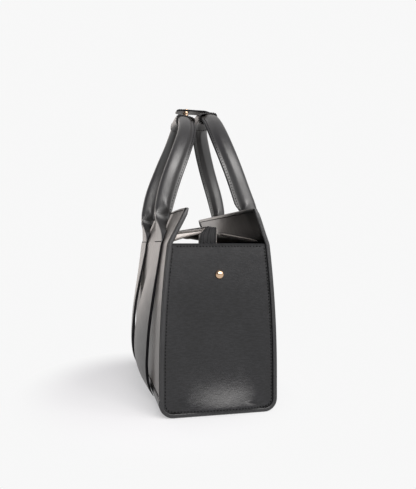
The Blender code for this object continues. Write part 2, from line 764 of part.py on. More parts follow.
def flap_hinge(front):
    """Point on the line where a flap is sewn to the wall: the middle of its rolled edge."""
    inside = wall_y(FLAP_HINGE_HEIGHT, FACING_DEPTH + FACING_THICKNESS)
    roll = (FLAP_THICKNESS / 2 + GAP) / math.cos(WING_ANGLE)
    return Vector((front * (inside - roll), FLAP_HINGE_HEIGHT))


def flap_outline(front, line):
    """Closed outline of a flap in the YZ plane, round at its hinge."""
    centre = flap_hinge(front)
    middle = [centre] + [Vector(p) for p in line]
    half = FLAP_THICKNESS / 2
    left, right = offset_line(middle, half), offset_line(middle, -half)
    start = math.atan2(*(left[0] - centre).yx)
    roll = []
    steps = 6
    for i in range(1, steps):
        angle = start + math.pi * i / steps
        roll.append(centre + half * Vector((math.cos(angle), math.sin(angle))))
    return [tuple(p) for p in reversed(left)] + [tuple(p) for p in roll] + [tuple(p) for p in right]


def tape_outline(line, rail_y):
    """Closed outline of a zip tape in the YZ plane, from under its flap up to its teeth."""
    end, before = Vector(line[-1]), Vector(line[-2])
    along = (end - before).normalized()
    down = Vector((0.0, -(FLAP_THICKNESS / 2 + GAP + TAPE_THICKNESS / 2)))
    top = Vector((rail_y, RIDGE_HEIGHT - TEETH_HEIGHT / 2 - GAP - TAPE_THICKNESS / 2))
    start = end - along * TAPE_OVERLAP + down
    middle = [start, end + down + along * TAPE_ELBOW, top]
    if start.x > top.x:
        middle = list(reversed(middle))
    half = TAPE_THICKNESS / 2
    return [tuple(p) for p in offset_line(middle, half)] + [
        tuple(p) for p in reversed(offset_line(middle, -half))
    ]


def comb_outline(front, start, end, phase):
    """Outline in the XY plane of one row of zip teeth: a rail with teeth towards the other row."""
    mesh_half = (TOOTH_LENGTH + GAP) / 2
    rail_inner = RIDGE_Y + front * mesh_half
    rail_outer = rail_inner + front * RAIL_WIDTH
    tip = rail_inner - front * TOOTH_LENGTH
    points = [(start, rail_outer), (start, rail_inner)]
    x = FRONT_TEETH_START + TOOTH_PITCH * (0.5 + phase)
    while x + TOOTH_WIDTH / 2 < end - GAP:
        points += [(x - TOOTH_WIDTH / 2, rail_inner), (x - TOOTH_WIDTH / 2, tip)]
        points += [(x + TOOTH_WIDTH / 2, tip), (x + TOOTH_WIDTH / 2, rail_inner)]
        x += TOOTH_PITCH
    return points + [(end, rail_inner), (end, rail_outer)]


def rail_middle(front):
    return RIDGE_Y + front * ((TOOTH_LENGTH + GAP) / 2 + RAIL_WIDTH / 2)


def make_zip():
    low, high = RIDGE_HEIGHT - TEETH_HEIGHT / 2, RIDGE_HEIGHT + TEETH_HEIGHT / 2
    for face, line, front in (("front", FRONT_FLAP_LINE, -1), ("back", BACK_FLAP_LINE, 1)):
        hinge = flap_hinge(front)
        origin = (0.0, hinge.x, hinge.y)
        flap = f"{face}_zip_flap"
        outline = flap_outline(front, line)
        body = prism(flap, outline, "X", -FLAP_HALF_LENGTH, FLAP_HALF_LENGTH)
        make_object(flap, body, LEATHER_LOOK, origin)
        start = FRONT_TEETH_START if front < 0 else TEETH_START
        tape = f"{face}_zip_tape"
        outline = tape_outline(line, rail_middle(front))
        make_object(tape, prism(tape, outline, "X", start, TEETH_END), TAPE_LOOK, origin)
        teeth = f"{face}_zip_teeth"
        outline = comb_outline(front, start, TEETH_END, 0.25 + 0.25 * front)
        make_object(teeth, prism(teeth, outline, "Z", low, high), TAPE_LOOK, origin)


def make_tail():
    middle = [(x, height) for x, height, _, _ in TAIL_LINE]
    over = offset_line(middle, TAIL_THICKNESS / 2)
    under = offset_line(middle, -TAIL_THICKNESS / 2)
    rings = []
    for a, b, (_, _, half, y) in zip(over, under, TAIL_LINE):
        low, high = y - half, y + half
        corners = (a.x, low, a.y), (a.x, high, a.y), (b.x, high, b.y), (b.x, low, b.y)
        rings.append([Vector(p) for p in corners])
    hinge = flap_hinge(1)
    make_object("zip_tail", loft("zip_tail", rings), TAPE_LOOK, (0.0, hinge.x, hinge.y))


def slider_half_inside():
    return (TOOTH_LENGTH + GAP) / 2 + RAIL_WIDTH + SLIDER_CLEARANCE


def pin_place():
    """Middle of the pin that the pull turns on."""
    x = SLIDER_REST_X - SLIDER_LENGTH / 2 + EAR_RADIUS
    top = RIDGE_HEIGHT + TEETH_HEIGHT / 2 + SLIDER_CLEARANCE + SLIDER_WALL
    return Vector((x, RIDGE_Y, top + PULL_EYE_RADIUS + GAP))


def circle_xz(centre, radius, points):
    """Outline of a circle in the XZ plane."""
    angles = [2 * math.pi * i / points for i in range(points)]
    return [(centre.x + radius * math.cos(a), centre.z + radius * math.sin(a)) for a in angles]


def join(target, other):
    """Joins a second solid to the first, and keeps it out of the model."""
    other.hide_render = True
    other.display_type = "WIRE"
    modifier = target.modifiers.new("Join", "BOOLEAN")
    modifier.operation = "UNION"
    modifier.object = other


def make_slider():
    inside = slider_half_inside()
    outside = inside + SLIDER_WALL
    low = RIDGE_HEIGHT - TEETH_HEIGHT / 2
    top_in = RIDGE_HEIGHT + TEETH_HEIGHT / 2 + SLIDER_CLEARANCE
    top = top_in + SLIDER_WALL
    outline = [
        (RIDGE_Y - outside, low),
        (RIDGE_Y - outside, top - SLIDER_WALL / 2),
        (RIDGE_Y - inside, top),
        (RIDGE_Y + inside, top),
        (RIDGE_Y + outside, top - SLIDER_WALL / 2),
        (RIDGE_Y + outside, low),
        (RIDGE_Y + inside, low),
        (RIDGE_Y + inside, top_in),
        (RIDGE_Y - inside, top_in),
        (RIDGE_Y - inside, low),
    ]
    first, last = SLIDER_REST_X - SLIDER_LENGTH / 2, SLIDER_REST_X + SLIDER_LENGTH / 2
    slider = make_object("zip_slider", prism("zip_slider", outline, "X", first, last), GOLD_LOOK)
    pin = pin_place()
    ear_inner = PULL_HALF_WIDTH + GAP
    for index, sign in enumerate((-1, 1)):
        steps = 8
        ear = [(pin.x + EAR_RADIUS, top - SLIDER_WALL / 2)]
        for i in range(steps + 1):
            angle = math.pi * i / steps
            ear.append((pin.x + EAR_RADIUS * math.cos(angle), pin.z + EAR_RADIUS * math.sin(angle)))
        ear.append((pin.x - EAR_RADIUS, top - SLIDER_WALL / 2))
        y0, y1 = RIDGE_Y + sign * ear_inner, RIDGE_Y + sign * (ear_inner + EAR_THICKNESS)
        name = f"slider_ear_{index}"
        join(slider, make_object(name, prism(name, ear, "Y", y0, y1), GOLD_LOOK))
    reach = ear_inner + EAR_THICKNESS / 2
    round_pin = circle_xz(pin, PIN_RADIUS, 10)
    rod = prism("slider_pin", round_pin, "Y", RIDGE_Y - reach, RIDGE_Y + reach)
    join(slider, make_object("slider_pin", rod, GOLD_LOOK))


def make_pull():
    """The pull lies along the slider, flush with the underside of its round eye."""
    pin = pin_place()
    eye = PULL_EYE_RADIUS
    steps = 10
    meet = math.asin((PULL_THICKNESS - eye) / eye)
    outline = []
    for i in range(steps + 1):
        angle = meet + (1.5 * math.pi - meet) * i / steps
        outline.append((pin.x + eye * math.cos(angle), pin.z + eye * math.sin(angle)))
    low, high = pin.z - eye, pin.z - eye + PULL_THICKNESS
    outline += [(pin.x + PULL_LENGTH, low), (pin.x + PULL_LENGTH, high)]
    y0, y1 = RIDGE_Y - PULL_HALF_WIDTH, RIDGE_Y + PULL_HALF_WIDTH
    pull = make_object("zip_pull", prism("zip_pull", outline, "Y", y0, y1), GOLD_LOOK, pin)
    hole = circle_xz(pin, PIN_RADIUS + PULL_EYE_CLEARANCE, 12)
    cutter = prism("pull_eye", hole, "Y", y0 - PULL_HALF_WIDTH, y1 + PULL_HALF_WIDTH)
    cut(pull, make_object("pull_eye", cutter, GOLD_LOOK))


def main():
    clear_scene()
    make_walls()
    make_base()
    make_lining()
    make_gussets()
    make_straps()
    make_handles()
    make_tab()
    make_zip()
    make_tail()
    make_slider()
    make_pull()


main()
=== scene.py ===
"""Looks of the structured tote bag: leather shells, folded handles, stitching, zip, metal and studio.

X runs along the bag's length, Y from front to back and Z up, in metres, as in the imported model.
"""

from math import asin, atan2, copysign, cos, pi, radians, sin, sqrt, tan

import bmesh
import bpy
import numpy as np
from mathutils import Matrix, Vector


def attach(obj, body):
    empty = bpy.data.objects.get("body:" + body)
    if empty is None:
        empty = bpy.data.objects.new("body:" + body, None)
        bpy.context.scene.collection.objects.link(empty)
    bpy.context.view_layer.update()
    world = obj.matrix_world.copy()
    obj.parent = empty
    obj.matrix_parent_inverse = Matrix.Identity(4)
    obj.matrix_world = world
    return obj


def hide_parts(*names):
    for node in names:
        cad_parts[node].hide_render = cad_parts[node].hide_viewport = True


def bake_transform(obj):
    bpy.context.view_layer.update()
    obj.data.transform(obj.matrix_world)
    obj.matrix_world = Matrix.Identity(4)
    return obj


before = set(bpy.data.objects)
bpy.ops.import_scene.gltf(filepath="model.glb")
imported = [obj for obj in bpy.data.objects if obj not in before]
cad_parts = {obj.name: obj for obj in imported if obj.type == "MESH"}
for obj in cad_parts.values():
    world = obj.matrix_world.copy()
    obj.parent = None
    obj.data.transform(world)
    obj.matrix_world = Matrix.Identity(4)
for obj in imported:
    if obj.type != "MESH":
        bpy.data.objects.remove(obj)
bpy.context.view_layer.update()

# Ends of the bag, with the sign of X there
HANDS = (("right", 1), ("left", -1))

# Body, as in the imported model
END_X = 0.150
WRAP_END = 0.1471
BASE_HALF = 0.0668
GUSSET_HALF = 0.0580
WING_HALF = 0.0407
GUSSET_TOP = 0.189
WALL_TOP = 0.229
CORNER_RADIUS = 0.015
BOW_START = 0.045
BEND_RADIUS = 0.016
BEND_BAND = (0.184, 0.194)
GAP = 0.0003
LEATHER = 0.0022
BASE_SEAM = 0.020
BOW_RISE = GUSSET_TOP - BOW_START
BOW_DROP = BASE_HALF - GUSSET_HALF
BOW_RADIUS = (BOW_RISE**2 + BOW_DROP**2) / (2 * BOW_DROP)
SIDE_ANGLE = asin(BOW_RISE / BOW_RADIUS)
WING_ANGLE = atan2(GUSSET_HALF - WING_HALF, WALL_TOP - GUSSET_TOP)
CORNER_Y = BASE_HALF - CORNER_RADIUS
FACING_THICKNESS = 0.0012
FACING_END = 0.1446
GUSSET_THICKNESS = 0.0019
LINING_THICKNESS = 0.0007
LINING_GAP = 0.0008
LINING_END = 0.1398
LINING_LIFT = 0.0023
LINING_TOP = 0.1845
BINDING_HALF_WIDTH = 0.00225
BINDING_HALF_THICKNESS = 0.0013
BINDING_CORNER = 0.00095
BINDING_DEPTH = 0.00275

# Soft forms of the body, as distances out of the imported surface
WALL_WAVE = 0.0009
WING_SHIFT = 0.0026
GUSSET_DISH = 0.0052
GUSSET_FLARE = 0.0074
GUSSET_RIM_FLARE = 0.0008
GUSSET_WAVE = 0.00025
GUSSET_FOLD = 0.0008

# Seams: distance of each row of stitches from its edge, and how far the row runs
WALL_SEAM = 0.0035
BASE_WALL_SEAM = 0.0028
WALL_SEAM_END = 0.1435
FACING_SEAM = 0.0042
FACING_SEAM_END = 0.141
GUSSET_SEAM = 0.0066
HEM_SEAM = 0.0030
HEM_SEAM_END = 0.0500
TAB_SEAM = 0.0026
FLAP_SEAM_END = 0.123

# Side studs
STUD_HEIGHT = 0.155
STUD_RADIUS = 0.0050
STUD_RISE = 0.0031
STUD_SHANK = 0.0015
STUD_SHANK_END = 0.1436
TURNED_SIDES = 48

# Straps
STRAP_X = 0.0835
STRAP_THICKNESS = 0.0024
STRAP_CROWN = 0.0015
STRAP_SWELL = 0.0012
STRAP_SKIVE = 0.0016
BOWED_STRAP = ("front", "right")
# Height, outer edge's X and stand-off, inner edge's X and stand-off, and the latter of the bowed strap
STRAP_STATIONS = (
    (0.0070, 0.0840, 0.0003, 0.0520, 0.0003, 0.0003),
    (0.0105, 0.0844, 0.0005, 0.0500, 0.0008, 0.0006),
    (0.0150, 0.0850, 0.0015, 0.0485, 0.0027, 0.0025),
    (0.0280, 0.0870, 0.0048, 0.0460, 0.0084, 0.0094),
    (0.0440, 0.0900, 0.0063, 0.0450, 0.0114, 0.0141),
    (0.0610, 0.0950, 0.0064, 0.0450, 0.0119, 0.0159),
    (0.0870, 0.1000, 0.0058, 0.0450, 0.0106, 0.0149),
    (0.1100, 0.1015, 0.0042, 0.0450, 0.0087, 0.0120),
    (0.1380, 0.1060, 0.0024, 0.0445, 0.0053, 0.0067),
    (0.1600, 0.1095, 0.0011, 0.0442, 0.0026, 0.0026),
    (0.1790, 0.1125, 0.0004, 0.0462, 0.0006, 0.0006),
    (0.1860, 0.1136, 0.0003, 0.0485, 0.0003, 0.0003),
    (0.1900, 0.1142, 0.0002, 0.0506, 0.0002, 0.0002),
)
STRAP_ROW_HEIGHT = 0.1915
STRAP_ROW = (0.0535, 0.1130)
# Fold: height, front face's half width, half width at the edges, front face's distance from the middle
FOLD_STATIONS = (
    (0.1938, 0.0295, 0.0310, 0.0594),
    (0.1990, 0.0275, 0.0300, 0.0596),
    (0.2060, 0.0210, 0.0270, 0.0604),
    (0.2140, 0.0120, 0.0212, 0.0618),
    (0.2225, 0.0062, 0.0125, 0.0634),
    (0.2295, 0.0048, 0.0055, 0.0641),
)

# Handles
BAND_THICKNESS = 0.00175
BAND_HALF_WIDTH = 0.0118
BAND_HALF_THICKNESS = 0.0060
SEAM_HALF_THICKNESS = 0.0019
SECTION_POWER = 2.6
SEGMENT_STEPS = 3
LEG_TOP = 0.270
LEG_HEIGHTS = (0.2345, 0.2420, 0.2560)
LEG_PINCH = 0.0002
LEG_WAVE = 0.00035
ARCH_STEPS = 10
APEX_SCALE = 0.86
APEX_SCALE_SPAN = 0.075
FRONT_APEX = 0.3553
BACK_APEX = 0.3606
# Places that the lean of each leg passes through: height and distance from the middle
FRONT_LEAN = (
    (0.2295, 0.0525),
    (0.2345, 0.0518),
    (0.260, 0.0465),
    (0.300, 0.0318),
    (0.330, 0.0204),
    (0.3553, 0.0151),
)
BACK_LEAN = (
    (0.2295, 0.0522),
    (0.2345, 0.0504),
    (0.260, 0.0404),
    (0.300, 0.0261),
    (0.330, 0.0182),
    (0.3606, 0.0143),
)
BACK_LEFT_LEAN = (
    (0.2295, 0.0536),
    (0.2345, 0.0535),
    (0.260, 0.0490),
    (0.300, 0.0362),
    (0.330, 0.0250),
    (0.352, 0.0157),
    (0.3606, 0.0143),
)
SLEEVE_HALF_LENGTH = 0.027
SLEEVE_THICKNESS = 0.0017
SLEEVE_POWER = 0.55

# Slanting lower ends of the legs' padding
SOFTENING_PASSES = 16
CREASE_HEIGHT = 0.2385
CREASE_WIDTH = 0.0040
CREASE_RISE = 0.0015
SLANT_DROP = 0.0210
SLANT_COLUMNS = 9.0
SLANT_OUTWARD = 0.30

# Snap tab
TAB_LOW = 0.36858
TAB_THICKNESS = 0.0022
TAB_TOP = TAB_LOW + TAB_THICKNESS
TAB_HALF_LENGTH = 0.0105
TAB_CORNER = 0.006
TAB_TIP = -0.0250
TAB_BASE_END = 0.0235
TAB_BASE_DROP = 0.0042
TAB_TIP_DROP = 0.0004
TAB_WAVE = 0.00012
SNAP_X = 0.0052
SNAP_Y = -0.0115
SNAP_RADIUS = 0.0037
SNAP_RISE = 0.0011
SNAP_SHANK = 0.0012

# Zip closure
FLAP_END = 0.126
FLAP_THICKNESS = 0.0024
FLAP_WAVE = 0.00030
FLAP_HINGE = (0.0513, 0.1915)
FRONT_FLAP_LINE = ((-0.0330, 0.1972), (-0.0200, 0.2004), (-0.0112, 0.2030))
BACK_FLAP_LINE = ((0.0400, 0.1942), (0.0230, 0.1972), (0.0085, 0.1998))
RIDGE_Y = -0.0060
RIDGE_Z = 0.2085
TAPE_THICKNESS = 0.0008
RAIL_OFFSET = 0.00145
TEETH_HEIGHT = 0.0016
TEETH_START = {"front": -0.1150, "back": -0.1258}
TEETH_END = 0.1220
TOOTH_PITCH = 0.004
TOOTH_HALF_LENGTH = 0.0008
TOOTH_REACH = 0.0015
TOOTH_ROOT = 0.0004
TEETH_CORD = (0.00095, 0.00195)
# Tail's middle line: X, height, half width and Y
TAIL_LINE = (
    (0.1224, 0.2062, 0.0028, -0.0060),
    (0.1265, 0.2062, 0.0032, -0.0060),
    (0.1300, 0.2062, 0.0044, -0.0057),
    (0.1340, 0.2066, 0.0058, -0.0063),
    (0.1376, 0.2044, 0.0080, -0.0086),
    (0.1390, 0.1985, 0.0102, -0.0111),
    (0.1381, 0.1900, 0.0105, -0.0115),
    (0.1366, 0.1800, 0.0105, -0.0115),
    (0.1350, 0.1725, 0.0100, -0.0115),
)
TAIL_COLUMNS = 25
TAIL_THICKNESS = 0.0022
TAIL_RIB = 0.0011
# Tail's slanting shoulder: Y and height of its low end, and its rise
SHOULDER_Y = -0.0225
SHOULDER_Z = 0.1982
SHOULDER_RISE = 0.90

# Stitches: place along the stitch, size and lift of each ring of the thread
STITCH_SHAPE = (
    (-0.5, 0.25, -0.9),
    (-0.36, 0.8, -0.1),
    (0.0, 1.0, 0.25),
    (0.36, 0.8, -0.1),
    (0.5, 0.25, -0.9),
)
STITCH_SIDES = 6
STITCH_SINK = 0.35

# Camera, from the perspective fitted to the photograph
CAMERA_PLACE = (0.710, -0.1395, 0.188)
CAMERA_FORWARD = (-0.9757, 0.2193, 0.0)
CAMERA_LENS = 38.65

# Studio
BACKDROP = (0.935, 0.935, 0.935, 1.0)
AMBIENT = 0.33
FLOOR_MIDDLE = (0.02, -0.055)
FLOOR_REACH = (0.165, 0.120)
FLOOR_FADE = (0.75, 1.55)
FLOOR_RINGS = (0.4, 0.8, 1.4, 2.4, 4.0, 8.0)
FLOOR_SIDES = 48
# Lamps: name, place, target, size, power and colour
LIGHTS = (
    ("top_softbox", (-0.1, -0.1, 1.3), (0.0, 0.0, 0.12), (1.2, 1.2), 0.8, (1.0, 0.97, 0.94)),
    ("key_softbox", (1.22, 0.13, 0.78), (0.05, 0.0, 0.12), (0.9, 0.75), 18.0, (1.0, 0.98, 0.96)),
    ("side_softbox", (0.95, 0.80, 0.70), (0.05, 0.0, 0.15), (0.8, 0.8), 6.5, (1.0, 0.98, 0.96)),
    ("card_light", (-1.30, -0.35, 0.35), (0.0, -0.05, 0.12), (1.2, 1.2), 4.4, (1.0, 0.86, 0.78)),
)


# Curves and waves


def direction(angle):
    return np.array((cos(angle), sin(angle)))


def circle(sides, start=0.0):
    """Points round a unit circle."""
    return [direction(2 * pi * (k + start) / sides) for k in range(sides)]


def eased(value, start, end):
    """0 at start and before it, 1 at end and beyond, smooth between them. end may lie below start."""
    t = np.clip((value - start) / (end - start), 0.0, 1.0)
    return t * t * (3 - 2 * t)


def hump(value, middle, width):
    """Smooth hump, 1 high at its middle."""
    return np.exp(-(((value - middle) / width) ** 2))


def ripple(a, b, seed):
    """Slow uneven value between -1 and 1 over two lengths in metres."""
    return (
        sin(38 * a + 1.3 * seed) * cos(31 * b + 2.1 * seed)
        + 0.6 * sin(71 * a - 23 * b + seed)
        + 0.4 * cos(17 * a + 83 * b + 0.7 * seed)
    ) / 2.0


def between(a, b, slope_a, slope_b, span, t):
    """Smooth curve from a to b with the given slopes, at the fraction t of its span."""
    return (
        a * (2 * t**3 - 3 * t**2 + 1)
        + span * slope_a * (t**3 - 2 * t**2 + t)
        + b * (3 * t**2 - 2 * t**3)
        + span * slope_b * (t**3 - t**2)
    )


def table_value(table, position):
    """Value at a position of a smooth curve through the rows (position, value) of a table."""
    position = min(max(position, table[0][0]), table[-1][0])
    i = max(k for k in range(len(table) - 1) if table[k][0] <= position)
    (x0, y0), (x1, y1) = table[i], table[i + 1]
    before, after = table[max(i - 1, 0)], table[min(i + 2, len(table) - 1)]
    slope0, slope1 = (y1 - before[1]) / (x1 - before[0]), (after[1] - y0) / (after[0] - x0)
    return between(y0, y1, slope0, slope1, x1 - x0, (position - x0) / (x1 - x0))


def finer(rows, step, dense=None):
    """Rows of points, resampled along a smooth curve through them, about step apart.

    dense is a band of heights in which the rows lie three times closer.
    """
    rows = np.asarray(rows, float)
    chord = np.linalg.norm(np.diff(rows, axis=0), axis=-1)
    chord = chord.reshape(len(chord), -1).mean(axis=1)
    place = np.concatenate([[0.0], np.cumsum(np.maximum(chord, 1e-7))])
    slopes = np.empty_like(rows)
    for i in range(len(rows)):
        a, b = max(i - 1, 0), min(i + 1, len(rows) - 1)
        slopes[i] = (rows[b] - rows[a]) / (place[b] - place[a])
    made = []
    for i in range(len(rows) - 1):
        span = place[i + 1] - place[i]
        close = dense is not None and dense[0] < rows[i : i + 2, ..., -1].mean() < dense[1]
        parts = max(1, round(span / (step / 3 if close else step)))
        for k in range(parts):
            made.append(between(*rows[i : i + 2], *slopes[i : i + 2], span, k / parts))
    return np.array(made + [rows[-1]])


def grid_normals(grid):
    normal = np.cross(np.gradient(grid, axis=0), np.gradient(grid, axis=1))
    return normal / np.maximum(np.linalg.norm(normal, axis=-1, keepdims=True), 1e-12)


def unit_tangents(line):
    tangent = np.gradient(line, axis=0)
    return tangent / np.linalg.norm(tangent, axis=1, keepdims=True)


# Body's section


def bend_centre():
    side, wing = direction(SIDE_ANGLE), direction(WING_ANGLE)
    corner = np.array((GUSSET_HALF, GUSSET_TOP))
    return corner - BEND_RADIUS * (side + wing) / (1 + side @ wing)


BEND = bend_centre()


def wall_y(height, depth=0.0):
    """Half depth of the bag at a height, on a surface that lies depth inside the outer one."""
    bend_low = BEND[1] + (BEND_RADIUS - depth) * sin(SIDE_ANGLE)
    bend_high = BEND[1] + (BEND_RADIUS - depth) * sin(WING_ANGLE)
    if height < CORNER_RADIUS:
        drop = height - CORNER_RADIUS
        return CORNER_Y + sqrt(max((CORNER_RADIUS - depth) ** 2 - drop * drop, 0.0))
    if height < BOW_START:
        return BASE_HALF - depth
    if height < bend_low:
        rise = height - BOW_START
        return BASE_HALF - BOW_RADIUS + sqrt((BOW_RADIUS - depth) ** 2 - rise * rise)
    if height < bend_high:
        return BEND[0] + sqrt((BEND_RADIUS - depth) ** 2 - (height - BEND[1]) ** 2)
    return GUSSET_HALF - (height - GUSSET_TOP) * tan(WING_ANGLE) - depth / cos(WING_ANGLE)


def wing_shift(x, z):
    """How far the two wings lean to the back at the near end, along Y."""
    return WING_SHIFT * eased(z, 0.185, 0.225) * eased(x, 0.115, 0.145)


# Meshes


def finish_mesh(name, bm, materials, smooth_angle=50):
    bmesh.ops.recalc_face_normals(bm, faces=bm.faces)
    mesh = bpy.data.meshes.new(name)
    bm.to_mesh(mesh)
    bm.free()
    mesh.shade_smooth()
    mesh.set_sharp_from_angle(angle=radians(smooth_angle))
    for material in materials:
        mesh.materials.append(material)
    made = bpy.data.objects.new(name, mesh)
    bpy.context.scene.collection.objects.link(made)
    return made


def sheet(name, outer, thickness, materials, side=1, rim=0.5):
    """A sheet of leather or cloth: an outer surface of points, its thickness and a rounded rim.

    side is 1 or -1, for which side of the outer surface the material lies on. materials holds the
    face's material, the rim's and, where the inner face differs, that one's.
    """
    outer = np.asarray(outer, float)
    rows, columns = outer.shape[:2]
    thick = np.broadcast_to(np.asarray(thickness, float).reshape(-1, 1, 1), (rows, columns, 1))
    normal = grid_normals(outer) * side
    flat = outer.copy()
    for axis in (0, 1):
        drawn_in, whole, round_off = (np.swapaxes(a, 0, axis) for a in (flat, outer, thick * rim))
        for edge, beside in ((0, 1), (-1, -2)):
            outward = whole[edge] - whole[beside]
            length = np.maximum(np.linalg.norm(outward, axis=-1, keepdims=True), 1e-9)
            drawn_in[edge] -= outward / length * np.minimum(round_off[edge], 0.8 * length)
    inner = flat - normal * thick
    middle = outer - normal * thick / 2
    bm = bmesh.new()
    top = [[bm.verts.new(p) for p in row] for row in flat]
    low = [[bm.verts.new(p) for p in row] for row in inner]
    for i in range(rows - 1):
        for j in range(columns - 1):
            bm.faces.new((top[i][j], top[i + 1][j], top[i + 1][j + 1], top[i][j + 1]))
            below = bm.faces.new((low[i][j], low[i][j + 1], low[i + 1][j + 1], low[i + 1][j]))
            below.material_index = 2 if len(materials) > 2 else 0
    loop = [(0, j) for j in range(columns - 1)]
    loop += [(i, columns - 1) for i in range(rows - 1)]
    loop += [(rows - 1, j) for j in range(columns - 1, 0, -1)]
    loop += [(i, 0) for i in range(rows - 1, 0, -1)]
    edge = [bm.verts.new(middle[i][j]) for i, j in loop]
    for k, (i, j) in enumerate(loop):
        n = (k + 1) % len(loop)
        a, b = loop[n]
        for face in ((top[i][j], top[a][b], edge[n], edge[k]), (edge[k], edge[n], low[a][b], low[i][j])):
            bm.faces.new(face).material_index = 1
    return finish_mesh(name, bm, materials)


def skin(bm, rings, closed=False):
    """Faces between neighbouring rings of vertices, with a cap at each end unless the rings close up."""
    pairs = list(zip(rings, rings[1:]))
    if closed:
        pairs.append((rings[-1], rings[0]))
    for low, high in pairs:
        for i in range(len(low)):
            j = (i + 1) % len(low)
            bm.faces.new((low[i], low[j], high[j], high[i]))
    if not closed:
        bm.faces.new(rings[0])
        bm.faces.new(rings[-1])


def loft(name, rings, material, smooth_angle, closed=False):
    """A solid through rings of points."""
    bm = bmesh.new()
    skin(bm, [[bm.verts.new(p) for p in ring] for ring in rings], closed)
    return finish_mesh(name, bm, [material], smooth_angle)


def turned(name, profile, centre, axis, material):
    """A solid turned from rows (radius, distance along the axis)."""
    turn = {"X": Matrix.Rotation(pi / 2, 3, "Y"), "Z": Matrix.Identity(3)}[axis]
    rings = []
    for radius, along in profile:
        points = [Vector((radius * c, radius * s, along)) for c, s in circle(TURNED_SIDES)]
        rings.append([Vector(centre) + turn @ point for point in points])
    return loft(name, rings, material, 35)


def rounded_rectangle(half_a, half_b, radius):
    """Outline of a rounded rectangle in two lengths, anticlockwise."""
    steps = 3
    points = []
    for quarter, (side_a, side_b) in enumerate(((1, 1), (-1, 1), (-1, -1), (1, -1))):
        centre = np.array((side_a * (half_a - radius), side_b * (half_b - radius)))
        points += [centre + radius * direction(pi / 2 * (quarter + i / steps)) for i in range(steps + 1)]
    return points


# Materials

WHITE = (1.0, 1.0, 1.0)
WARM = (0.95, 0.88, 0.82, 1.0)


def connect(tree, made, inputs):
    """Give each input of a node its value, or link it to another node's output."""
    for key, value in inputs.items():
        if isinstance(value, bpy.types.NodeSocket):
            tree.links.new(value, made.inputs[key])
        else:
            made.inputs[key].default_value = value


def node(tree, kind, inputs=None, output=0, **settings):
    """Output of a new node."""
    made = tree.nodes.new("ShaderNode" + kind)
    for key, value in settings.items():
        setattr(made, key, value)
    connect(tree, made, inputs or {})
    return made.outputs[output]


def new_material(name, colour, roughness, metallic=0.0, shine=0.5, sheen=0.0):
    material = bpy.data.materials.new(name)
    material.use_nodes = True
    tree = material.node_tree
    shader = tree.nodes["Principled BSDF"]
    connect(tree, shader, {"Base Color": (*colour, 1.0), "Roughness": roughness, "Metallic": metallic})
    connect(tree, shader, {"Specular IOR Level": shine, "Sheen Weight": sheen, "Sheen Tint": WARM})
    return material, tree, shader


def texture_place(tree, scale=(1.0, 1.0, 1.0)):
    """Object coordinates, stretched."""
    return node(tree, "Mapping", {"Vector": node(tree, "TexCoord", output="Object"), "Scale": scale})


def noise(tree, place, scale, detail, roughness=0.5):
    inputs = {"Vector": place, "Scale": scale, "Detail": detail, "Roughness": roughness}
    return node(tree, "TexNoise", inputs)


def calculate(tree, operation, first, second):
    return node(tree, "Math", {0: first, 1: second}, operation=operation)


def spread_over(tree, source, low, high):
    """A value between low and high, after a texture."""
    return node(tree, "MapRange", {"Value": source, "To Min": low, "To Max": high})


def raised(tree, height, strength, distance, normal=None, invert=False):
    """The surface's direction after a relief, laid over the relief that normal holds."""
    inputs = {"Height": height, "Strength": strength, "Distance": distance}
    if normal is not None:
        inputs["Normal"] = normal
    return node(tree, "Bump", inputs, invert=invert)


def ramp(tree, source, colour, *rows):
    """A colour that changes with a texture. Each row is a position and a factor of the colour."""
    made = tree.nodes.new("ShaderNodeValToRGB")
    connect(tree, made, {"Fac": source})
    elements = made.color_ramp.elements
    while len(elements) < len(rows):
        elements.new(0.5)
    for element, (position, factor) in zip(elements, rows):
        element.position = position
        element.color = (*(c * factor for c in colour), 1.0)
    return made.outputs["Color"]


def leather(name, colour, roughness, grain, bump, hatch=0.0, bow=0.0, **surface):
    """Pebbled leather: cells, fine pores, faint creases and slow changes of colour and gloss.

    hatch adds fine level lines to the grain, as on embossed leather. bow is the depth of a bump
    that makes the leather seem to fall back towards the end at positive X, in shading only.
    """
    material, tree, shader = new_material(name, colour, roughness, **surface)
    place = texture_place(tree)
    inputs = {"Vector": place, "Scale": grain, "Randomness": 0.9}
    cells = node(tree, "TexVoronoi", inputs, feature="SMOOTH_F1")
    pores = noise(tree, place, grain * 2.3, 3.0, 0.6)
    creases = noise(tree, place, grain * 0.14, 4.0, 0.55)
    slow = noise(tree, place, 22.0, 2.0)
    lines = noise(tree, texture_place(tree, (170.0, 170.0, 780.0)), 1.0, 2.0, 0.6)
    tone = ramp(tree, slow, colour, (0.3, 0.82), (0.7, 1.18))
    lined = ramp(tree, lines, WHITE, (0.38, 1 - 0.5 * hatch), (0.62, 1 + 0.5 * hatch))
    grooves = ramp(tree, cells, WHITE, (0.0, 1.0), (0.75, 0.8), (1.0, 0.45))
    for layer in (lined, grooves):
        inputs = {"Factor": 1.0, 6: tone, 7: layer}
        tone = node(tree, "Mix", inputs, 2, data_type="RGBA", blend_type="MULTIPLY")
    gloss = spread_over(tree, creases, roughness - 0.05, roughness + 0.07)
    normal = raised(tree, cells, bump, 0.0003, invert=True)
    normal = raised(tree, pores, bump * 0.5, 0.0002, normal)
    normal = raised(tree, creases, 0.25, 0.0008, normal)
    normal = raised(tree, lines, hatch * 0.4, 0.0002, normal)
    if bow:
        along = node(tree, "SeparateXYZ", {"Vector": place})
        inputs = {"Value": along, "From Min": -0.05, "From Max": END_X}
        fall = calculate(tree, "POWER", node(tree, "MapRange", inputs), 2.0)
        normal = raised(tree, fall, 1.0, bow, normal, invert=True)
    connect(tree, shader, {"Base Color": tone, "Roughness": gloss, "Normal": normal})
    return material


